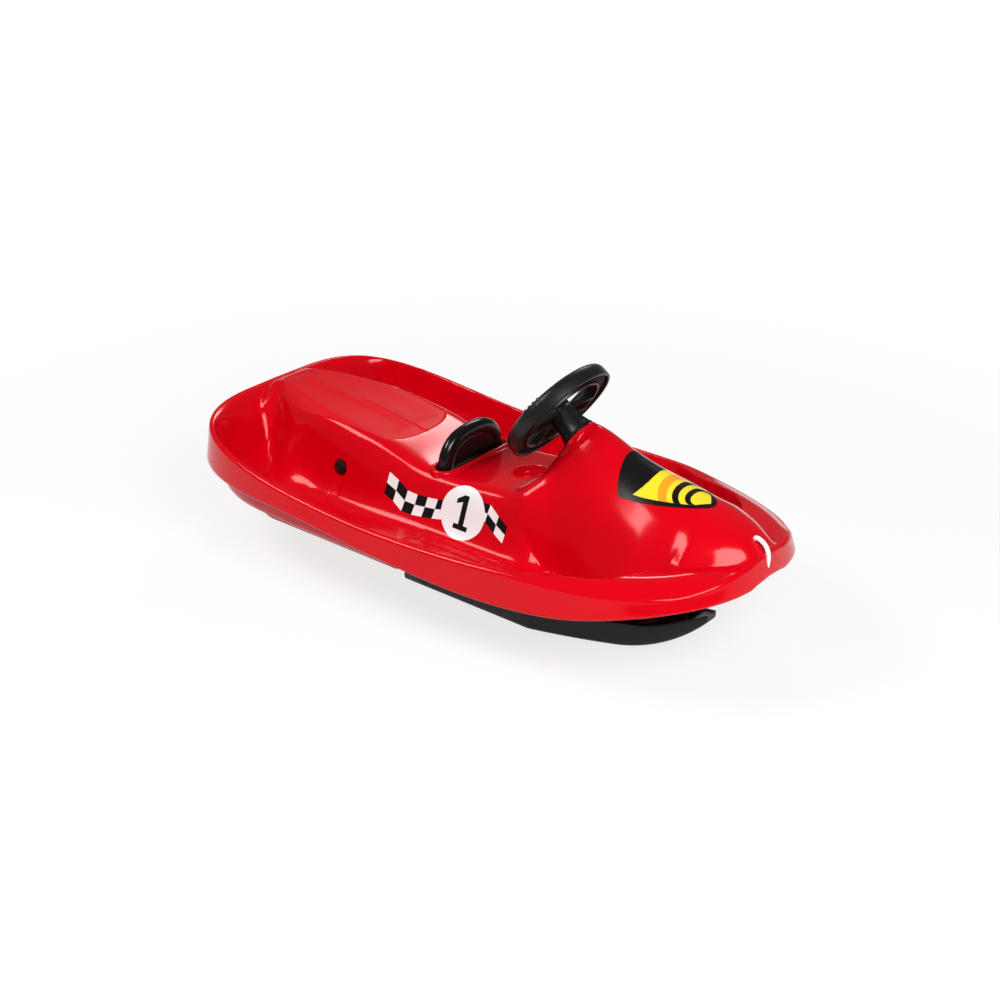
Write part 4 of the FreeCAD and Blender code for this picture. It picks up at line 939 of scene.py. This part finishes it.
def brake_handle():
    """A half-moon with a domed, rolled edge and a recessed web, on a stem through the slot."""
    build = Builder()
    count = 61
    middle = half_moon_line(HANDLE_ROLL, count)
    rim = half_moon_line(0, count)
    core = half_moon_line(HANDLE_CORE, count)
    points = []
    for k in range(count):
        for across, out in DOME:
            share = out / HANDLE_ROLL
            aim = rim[k] if share > 0 else core[k]
            y = middle[k][0] + (aim[0] - middle[k][0]) * abs(share)
            z = middle[k][1] + (aim[1] - middle[k][1]) * abs(share)
            points.append((HANDLE_X + HANDLE_DEPTH * across, y, z))
    build.add(points, grid_faces(count, len(DOME)))
    for side in (-1, 1):
        web = []
        for share in (1.0, 0.66, 0.33, 0.0):
            web.append([(HANDLE_X + side * HANDLE_WEB, y * share, HANDLE_BASE + (z - HANDLE_BASE) * share)
                        for y, z in half_moon_line(HANDLE_WEB_EDGE, count)])
        build.add([point for row in web for point in row], grid_faces(len(web), count))
    build.add(*rounded_box((HANDLE_X - HANDLE_DEPTH, -HANDLE_HALF + 6, HANDLE_BASE - 6),
                           (HANDLE_X + HANDLE_DEPTH, HANDLE_HALF - 6, HANDLE_BASE + 4), 3))
    bolt_low, bolt_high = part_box("handle_bolt")
    lug_x = (bolt_low[0] + bolt_high[0]) / 2 / MM
    lug_z = (bolt_low[2] + bolt_high[2]) / 2 / MM
    build.add(*rounded_box((HANDLE_X - STEM_DEPTH, -STEM_HALF, lug_z),
                           (HANDLE_X + STEM_DEPTH, STEM_HALF, HANDLE_BASE), 2))
    lug = [(LUG_BORE, -STEM_HALF), (LUG_RADIUS - 1, -STEM_HALF), (LUG_RADIUS, -STEM_HALF + 1)]
    lug += [(radius, -z) for radius, z in reversed(lug)]
    points, faces = revolved(lug, 32)
    build.add([(x + lug_x, z, y + lug_z) for x, y, z in points], faces)
    build.piece("handle_skin", BLACK_GLOSS, "brake", "black_plastic", "brake_handle", sharp=45)


brake_handle()


# Front ski

SKI_REAR_X = -90.0
SKI_TIP_X = 410.0
SKI_HALF = 122.0
SKI_TAPER = 250.0
SKI_BULGE = 10.0
SKI_TIP_HALF = 12.0
SKI_BEND = 122.0
SKI_BEND_RISE = 56.0
SKI_LOW = 5.0
SKI_TOP = 45.0
SKI_WALL = 5.0
SKI_SOLE = 7.0
SKI_TIP_THICKNESS = 12.0
SKI_SWEEP_X = 325.0
SKI_EDGE = 6.0
SKI_FILLET = 5.0
SKI_DEPTH = 30.0
SKI_TIP_FILL = 27.0
SKI_FILL_X = (330, 395)
BOSS_RADIUS = 46.0
BOSS_TOP = 34.0
KEEL_MIDDLE = 65.0
KEEL_HALF = 6.0


def ski_half(x):
    """Half width of the ski at x: parallel, then a shallow curve in to the tip."""
    share = max((x - SKI_TIP_X + SKI_TAPER) / SKI_TAPER, 0.0)
    return SKI_HALF + (SKI_TIP_HALF - SKI_HALF) * share + 4 * SKI_BULGE * share * (1 - share)


def ski_lower(x):
    """Height of the ski's lower face, which bends up to the tip on an arc."""
    radius = (SKI_BEND ** 2 + SKI_BEND_RISE ** 2) / (2 * SKI_BEND_RISE)
    run = max(x - SKI_TIP_X + SKI_BEND, 0.0)
    return SKI_LOW + radius - math.sqrt(radius ** 2 - run ** 2)


def ski_section(x):
    """Closed section of the ski at x: a channel with rounded lower and upper edges."""
    half = ski_half(x)
    low = ski_lower(x)
    sweep = max((x - SKI_SWEEP_X) / (SKI_TIP_X - SKI_SWEEP_X), 0.0)
    tip_top = SKI_LOW + SKI_BEND_RISE + SKI_TIP_THICKNESS
    top = SKI_TOP + (tip_top - SKI_TOP) * sweep ** 1.5
    edge = min(SKI_EDGE, half / 3)
    inner = half - SKI_WALL
    floor = max(low + SKI_SOLE, top - SKI_DEPTH + SKI_TIP_FILL * smooth(*SKI_FILL_X, x))
    fillet = min(SKI_FILLET, inner / 3, (top - floor) * 0.8)
    right = []
    for turn in np.linspace(0, math.pi / 2, 5):
        right.append((half - edge + edge * math.sin(turn), low + edge - edge * math.cos(turn)))
    right += [(half, top - 2), (half - 0.6, top - 0.5), (half - 2, top)]
    right += [(inner + 1.2, top), (inner + 0.2, top - 0.8)]
    for turn in np.linspace(0, math.pi / 2, 4):
        right.append((inner - fillet + fillet * math.cos(turn), floor + fillet - fillet * math.sin(turn)))
    return [(x, y, z) for y, z in right + mirrored(right)]


def front_ski():
    """The front ski: a channel with a bent-up tip, two keels and the boss under the mast."""
    build = Builder()
    xs = list(np.linspace(SKI_REAR_X + 1.5, SKI_TIP_X - SKI_TAPER, 8)) + list(
        np.linspace(SKI_TIP_X - SKI_TAPER, SKI_TIP_X, 56)[1:])
    sections = [ski_section(x) for x in xs]
    squeezed = [(SKI_REAR_X, y * 0.99, z + (1 if z < SKI_LOW + 10 else -1)) for x, y, z in sections[0]]
    sections.insert(0, squeezed)
    count = len(sections[0])
    build.add([point for section in sections for point in section],
              grid_faces(len(sections), count, wrap_columns=True))
    build.faces.append(tuple(range(count)))
    build.faces.append(tuple(count * (len(sections) - 1) + k for k in range(count)))
    build.add(*rounded_box((SKI_REAR_X, -SKI_HALF + 3, SKI_LOW + 3),
                           (SKI_REAR_X + SKI_WALL, SKI_HALF - 3, SKI_TOP), 1.5))
    keel_end = SKI_TIP_X - SKI_BEND
    keel = ((SKI_REAR_X + 12, 0), (keel_end - 70, 0), (keel_end - 30, 1.2), (keel_end, SKI_LOW + 1),
            (keel_end, SKI_LOW + 3), (SKI_REAR_X + 10, SKI_LOW + 3), (SKI_REAR_X + 10, 2))
    for side in (-1, 1):
        points, faces = prism(keel, side * KEEL_MIDDLE - KEEL_HALF, side * KEEL_MIDDLE + KEEL_HALF)
        build.add([(x, z, y) for x, y, z in points], faces)
    boss = [(0.01, SKI_LOW + 2), (BOSS_RADIUS, SKI_LOW + 2), (BOSS_RADIUS, BOSS_TOP - 1),
            (BOSS_RADIUS - 1, BOSS_TOP), (0.01, BOSS_TOP)]
    points, faces = revolved(boss, 64)
    build.add([(x + MAST_X, y, z) for x, y, z in points], faces)
    build.piece("ski_skin", BLACK, "ski", "black_plastic", "front_ski", sharp=40)


front_ski()


# Printed decals: a chequered ribbon with a numbered disc on each side, and a badge on the nose

PRINT_LIFT = 0.5
DISC_X = 20.0
DISC_Z = 153.0
DISC_RADIUS = 43.0
DISC_LIFT = PRINT_LIFT + 0.25
NUMERAL_LIFT = PRINT_LIFT + 0.5
NUMERAL_BARS = (((-13, -27), (15, -27), (15, -19), (-13, -19)), ((-4, -20), (6, -20), (6, 28), (-4, 28)),
                ((-16, 12), (-3, 17), (-3, 28), (-16, 19)))


def side_point(x, up, side, lift):
    """A point on the side wall, at a distance up its face from the disc's height."""
    y = np.linspace(30, 150, 241)
    z = hull_top(x, y)
    run = np.concatenate(([0], np.cumsum(np.hypot(np.diff(y), np.diff(z)))))
    at_disc = np.interp(-DISC_Z, -z, run)
    point, normal = surface(x, side * float(np.interp(at_disc - up, run, y)))
    return point + normal * lift


def side_grid(corners, side, lift, rows, columns):
    """A patch on the side wall, from four corners given as (x, up)."""
    a, b, c, d = (np.array(corner, float) for corner in corners)
    points = []
    for v in np.linspace(0, 1, rows):
        for u in np.linspace(0, 1, columns):
            x, up = (1 - v) * ((1 - u) * a + u * b) + v * ((1 - u) * d + u * c)
            points.append(side_point(x, up, side, lift))
    return points, grid_faces(rows, columns)


RIBBON_MIDDLE = ((-136, 6), (-88, -15), (-36, -10), (62, 14), (106, -8))
RIBBON_COLUMNS = 12
RIBBON_HALF = 18.0
RIBBON_NARROWING = 4.5


def ribbon_line(share):
    """Lower and upper edge of the ribbon at a share of its length, as (x, up)."""
    x = RIBBON_MIDDLE[0][0] + (RIBBON_MIDDLE[-1][0] - RIBBON_MIDDLE[0][0]) * share
    middle = through(RIBBON_MIDDLE, x)
    half = RIBBON_HALF - RIBBON_NARROWING * share
    return (x - 1, middle - half), (x + 2, middle + half)


def side_decals(side, tag):
    """The ribbon's squares, the disc and its numeral on one side."""
    white = Builder()
    black = Builder()
    for column in range(RIBBON_COLUMNS):
        low_a, high_a = ribbon_line(column / RIBBON_COLUMNS)
        low_b, high_b = ribbon_line((column + 1) / RIBBON_COLUMNS)
        mid_a = tuple((a + b) / 2 for a, b in zip(low_a, high_a))
        mid_b = tuple((a + b) / 2 for a, b in zip(low_b, high_b))
        for row, corners in enumerate(((low_a, low_b, mid_b, mid_a), (mid_a, mid_b, high_b, high_a))):
            target = white if (row + column) % 2 else black
            target.add(*side_grid(corners, side, PRINT_LIFT, 5, 6))
    rings = 12
    spokes = 64
    points = []
    for reach in np.linspace(0, DISC_RADIUS, rings):
        for k in range(spokes):
            turn = 2 * math.pi * k / spokes
            x = DISC_X + reach * math.cos(turn)
            points.append(side_point(x, reach * math.sin(turn), side, DISC_LIFT))
    disc = Builder(points, grid_faces(rings, spokes, wrap_columns=True))
    numeral = Builder()
    for bar in NUMERAL_BARS:
        corners = [(DISC_X - x * side, up) for x, up in bar]
        numeral.add(*side_grid(corners, side, NUMERAL_LIFT, 12, 6))
    for build, name, paint in ((white, "ribbon_white_", PRINT_WHITE), (black, "ribbon_black_", PRINT_BLACK),
                               (disc, "disc_", PRINT_WHITE), (numeral, "numeral_", PRINT_BLACK)):
        build.piece(name + tag, paint, "hull", "red_plastic")


side_decals(-1, "right")
side_decals(1, "left")

BADGE_REAR_X = 253.0
BADGE_FRONT_X = 402.0
BADGE_HALF = 56.0
BADGE_REAR_ROUND = 0.10
BADGE_REAR_KEEP = 0.72
BADGE_EDGE = 7.0
BADGE_BOW = 0.10
PANEL_LIFT = PRINT_LIFT + 0.25
BAND_LIFT = PRINT_LIFT + 0.45


def badge_half(x, inset):
    """Half width of the badge at x: rounded rear corners and a blunt, round front."""
    length = BADGE_FRONT_X - BADGE_REAR_X
    share = min(max((x - BADGE_REAR_X - inset) / (length - 2 * inset), 0.0), 1.0)
    rear = min(share / BADGE_REAR_ROUND, 1.0)
    round_off = math.sqrt(1 - (1 - rear) ** 2)
    corner = BADGE_REAR_KEEP + (1 - BADGE_REAR_KEEP) * round_off
    return (BADGE_HALF - inset) * corner * (1 - share ** 2.2) ** 0.55


def badge_patch(name, paint, inset, lift, rear, front, bow):
    """A printed patch on the nose between two shares of the badge's length, bowed forward at its sides."""
    points = []
    rows = 41
    columns = 33
    length = BADGE_FRONT_X - BADGE_REAR_X - 2 * inset
    for u in np.linspace(0, 1, columns):
        for v in np.linspace(-1, 1, rows):
            bent = bow * abs(v) ** 3
            share = min(rear + bent + (front - rear) * u, 1.0)
            x = BADGE_REAR_X + inset + length * share
            point, normal = surface(x, v * badge_half(x, inset))
            points.append(point + normal * lift)
    build = Builder(points, grid_faces(columns, rows))
    build.piece(name, paint, "hull", "red_plastic")


badge_patch("badge_field", PRINT_BLACK, 0.0, PRINT_LIFT, 0.0, 1.0, 0.13)
badge_patch("badge_panel", PRINT_YELLOW, BADGE_EDGE, PANEL_LIFT, 0.34, 1.0, -BADGE_BOW)
badge_patch("badge_band", PRINT_ORANGE, BADGE_EDGE, BAND_LIFT, 0.44, 0.54, BADGE_BOW)
badge_patch("badge_chevron_rear", PRINT_BLACK, BADGE_EDGE, BAND_LIFT, 0.60, 0.67, BADGE_BOW)
badge_patch("badge_chevron_front", PRINT_BLACK, BADGE_EDGE, BAND_LIFT, 0.74, 0.80, BADGE_BOW)


# Tow cord: it comes up through the nose, goes over its rim and down again to a knot at each end

CORD_FRONT_X = 492.0
CORD_REAR_X = 470.0
CORD_RADIUS = 3.5
KNOT_FRONT_Z = 162.0
KNOT_LOOP = 1.5
KNOT_STRAND = 3.0


def tow_cord():
    """The cord as a curve through given points (x, z) in the middle plane."""
    low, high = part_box("tow_cord")
    top = high[2] / MM - CORD_RADIUS
    route = ((CORD_REAR_X, low[2] / MM + 30), (CORD_REAR_X, top - 2), (CORD_REAR_X + 3, top + 6),
             (CORD_FRONT_X - 4, top - 1), (CORD_FRONT_X + 3, top - 14), (CORD_FRONT_X + 3, top - 30),
             (CORD_FRONT_X, KNOT_FRONT_Z))
    line = bpy.data.curves.new("tow_rope", "CURVE")
    line.dimensions = "3D"
    spline = line.splines.new("NURBS")
    spline.points.add(len(route) - 1)
    for place, (x, z) in zip(spline.points, route):
        place.co = (x * MM, 0, z * MM, 1)
    spline.order_u = 3
    spline.use_endpoint_u = True
    spline.resolution_u = 16
    line.bevel_depth = CORD_RADIUS * MM
    line.bevel_resolution = 6
    line.use_fill_caps = True
    line.materials.append(CORD)
    item = bpy.data.objects.new("tow_rope", line)
    bpy.context.collection.objects.link(item)
    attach(item, "hull")
    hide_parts("tow_cord")
    return item, route


def cord_knots(rear_z):
    """A pulled-tight knot of three loops at each end of the cord."""
    build = Builder()
    turns = np.linspace(0, 2 * math.pi, 72, endpoint=False)
    reach = KNOT_LOOP * (2 + np.cos(3 * turns))
    rise = KNOT_LOOP * np.sin(3 * turns)
    loops = np.stack((reach * np.cos(2 * turns), reach * np.sin(2 * turns), rise), axis=1)
    for x, z in ((CORD_REAR_X, rear_z), (CORD_FRONT_X, KNOT_FRONT_Z)):
        build.add(*tube(loops + (x, 0, z), KNOT_STRAND, 10, closed=True))
    return build.piece("knots", CORD, "hull", "white_cord", "cord_knots")


rope, rope_route = tow_cord()
knots = cord_knots(rope_route[0][1])


# Nodes of the frame that show as they are

FINISHES = {"black_plastic": BLACK, "steel": STEEL, "bush_plastic": ACETAL, "white_cord": CORD,
            "red_plastic": RED}
for entry in frame["record"]["subparts"]:
    shown = frame["nodes"][entry["node"]]
    shown.data.materials.clear()
    shown.data.materials.append(FINISHES[entry["material_slot"]])


# Stage, lights and camera

FLOOR_REACH = 12.0
FLOOR_Z = -0.001
SHADOW_GLOW = 0.78
SHADOW_NEAR = 0.6
SHADOW_FAR = 1.5


def pale_floor():
    """A floor that shows white, and takes a faint shadow near the sled."""
    mesh = bpy.data.meshes.new("floor")
    corners = ((-1, -1), (1, -1), (1, 1), (-1, 1))
    mesh.from_pydata([(x * FLOOR_REACH, y * FLOOR_REACH, FLOOR_Z) for x, y in corners], [], [(0, 1, 2, 3)])
    item = bpy.data.objects.new("floor", mesh)
    bpy.context.collection.objects.link(item)
    paint = bpy.data.materials.new("floor_paint")
    paint.use_nodes = True
    nodes = paint.node_tree.nodes
    shader = nodes["Principled BSDF"]
    fill(shader, {"Base Color": (0.85, 0.85, 0.85, 1), "Roughness": 0.9})
    glow = nodes.new("ShaderNodeEmission")
    rays = nodes.new("ShaderNodeLightPath")
    seen = (rays, "Is Camera Ray")
    for name in ("Is Glossy Ray", "Is Transmission Ray"):
        most = nodes.new("ShaderNodeMath")
        most.operation = "MAXIMUM"
        join(*seen, most, 0)
        join(rays, name, most, 1)
        seen = (most, 0)
    place = nodes.new("ShaderNodeTexCoord")
    distance = nodes.new("ShaderNodeVectorMath")
    distance.operation = "LENGTH"
    join(place, "Object", distance, 0)
    fade = nodes.new("ShaderNodeMapRange")
    fade.interpolation_type = "SMOOTHSTEP"
    fill(fade, {"From Min": SHADOW_NEAR, "From Max": SHADOW_FAR, "To Min": SHADOW_GLOW, "To Max": 1.0})
    join(distance, "Value", fade, "Value")
    part = nodes.new("ShaderNodeMath")
    part.operation = "MULTIPLY"
    join(fade, "Result", part, 1)
    join(*seen, part, 0)
    mix = nodes.new("ShaderNodeMixShader")
    for place, source in enumerate((part, shader, glow)):
        join(source, 0, mix, place)
    join(mix, 0, nodes["Material Output"], "Surface")
    mesh.materials.append(paint)


def soft_light(name, place, aim, width, height, power):
    """A rectangular lamp at a place, turned to what it lights."""
    lamp = bpy.data.lights.new(name, "AREA")
    lamp.shape = "RECTANGLE"
    lamp.size = width
    lamp.size_y = height
    lamp.energy = power
    item = bpy.data.objects.new(name, lamp)
    bpy.context.collection.objects.link(item)
    item.location = place
    item.rotation_euler = (Vector(aim) - Vector(place)).to_track_quat("-Z", "Y").to_euler()


def world_light():
    """An even, dim light from all round."""
    world = bpy.data.worlds.new("studio")
    bpy.context.scene.world = world
    world.use_nodes = True
    fill(world.node_tree.nodes["Background"], {"Color": WHITE, "Strength": 0.15})


pale_floor()
world_light()
soft_light("key", (1.8, -0.9, 1.8), (0, 0, 0.15), 1.4, 1.0, 66)
soft_light("back", (-0.85, 1.80, 1.66), (0, 0, 0.15), 0.9, 0.34, 11)
soft_light("left", (-1.3, -1.3, 2.1), (-0.1, 0, 0.15), 1.2, 0.8, 40)

CAMERA_AZIMUTH = math.radians(40.09)
CAMERA_ELEVATION = math.radians(24.887)
CAMERA_DISTANCE = 2.826
CAMERA_TARGET = Vector((-0.100, 0.0, 0.160))
FOCAL_PIXELS = 1735.0
FRAME_PIXELS = 1000.0
TARGET_PIXEL = (447.9, 466.0)


def camera():
    """The photo's camera, with the target shifted to where the photo has it."""
    back = Vector((math.sin(CAMERA_AZIMUTH) * math.cos(CAMERA_ELEVATION),
                   -math.cos(CAMERA_AZIMUTH) * math.cos(CAMERA_ELEVATION), math.sin(CAMERA_ELEVATION)))
    right = Vector((math.cos(CAMERA_AZIMUTH), math.sin(CAMERA_AZIMUTH), 0))
    up = back.cross(right)
    lens = bpy.data.cameras.new("camera")
    lens.sensor_width = 36.0
    lens.lens = FOCAL_PIXELS / FRAME_PIXELS * lens.sensor_width
    lens.shift_x = 0.5 - TARGET_PIXEL[0] / FRAME_PIXELS
    lens.shift_y = TARGET_PIXEL[1] / FRAME_PIXELS - 0.5
    item = bpy.data.objects.new("camera", lens)
    bpy.context.collection.objects.link(item)
    turn = Matrix((right, up, back)).transposed().to_4x4()
    item.matrix_world = Matrix.Translation(CAMERA_TARGET + back * CAMERA_DISTANCE) @ turn
    bpy.context.scene.camera = item


camera()
bpy.context.scene.view_settings.view_transform = "Standard"
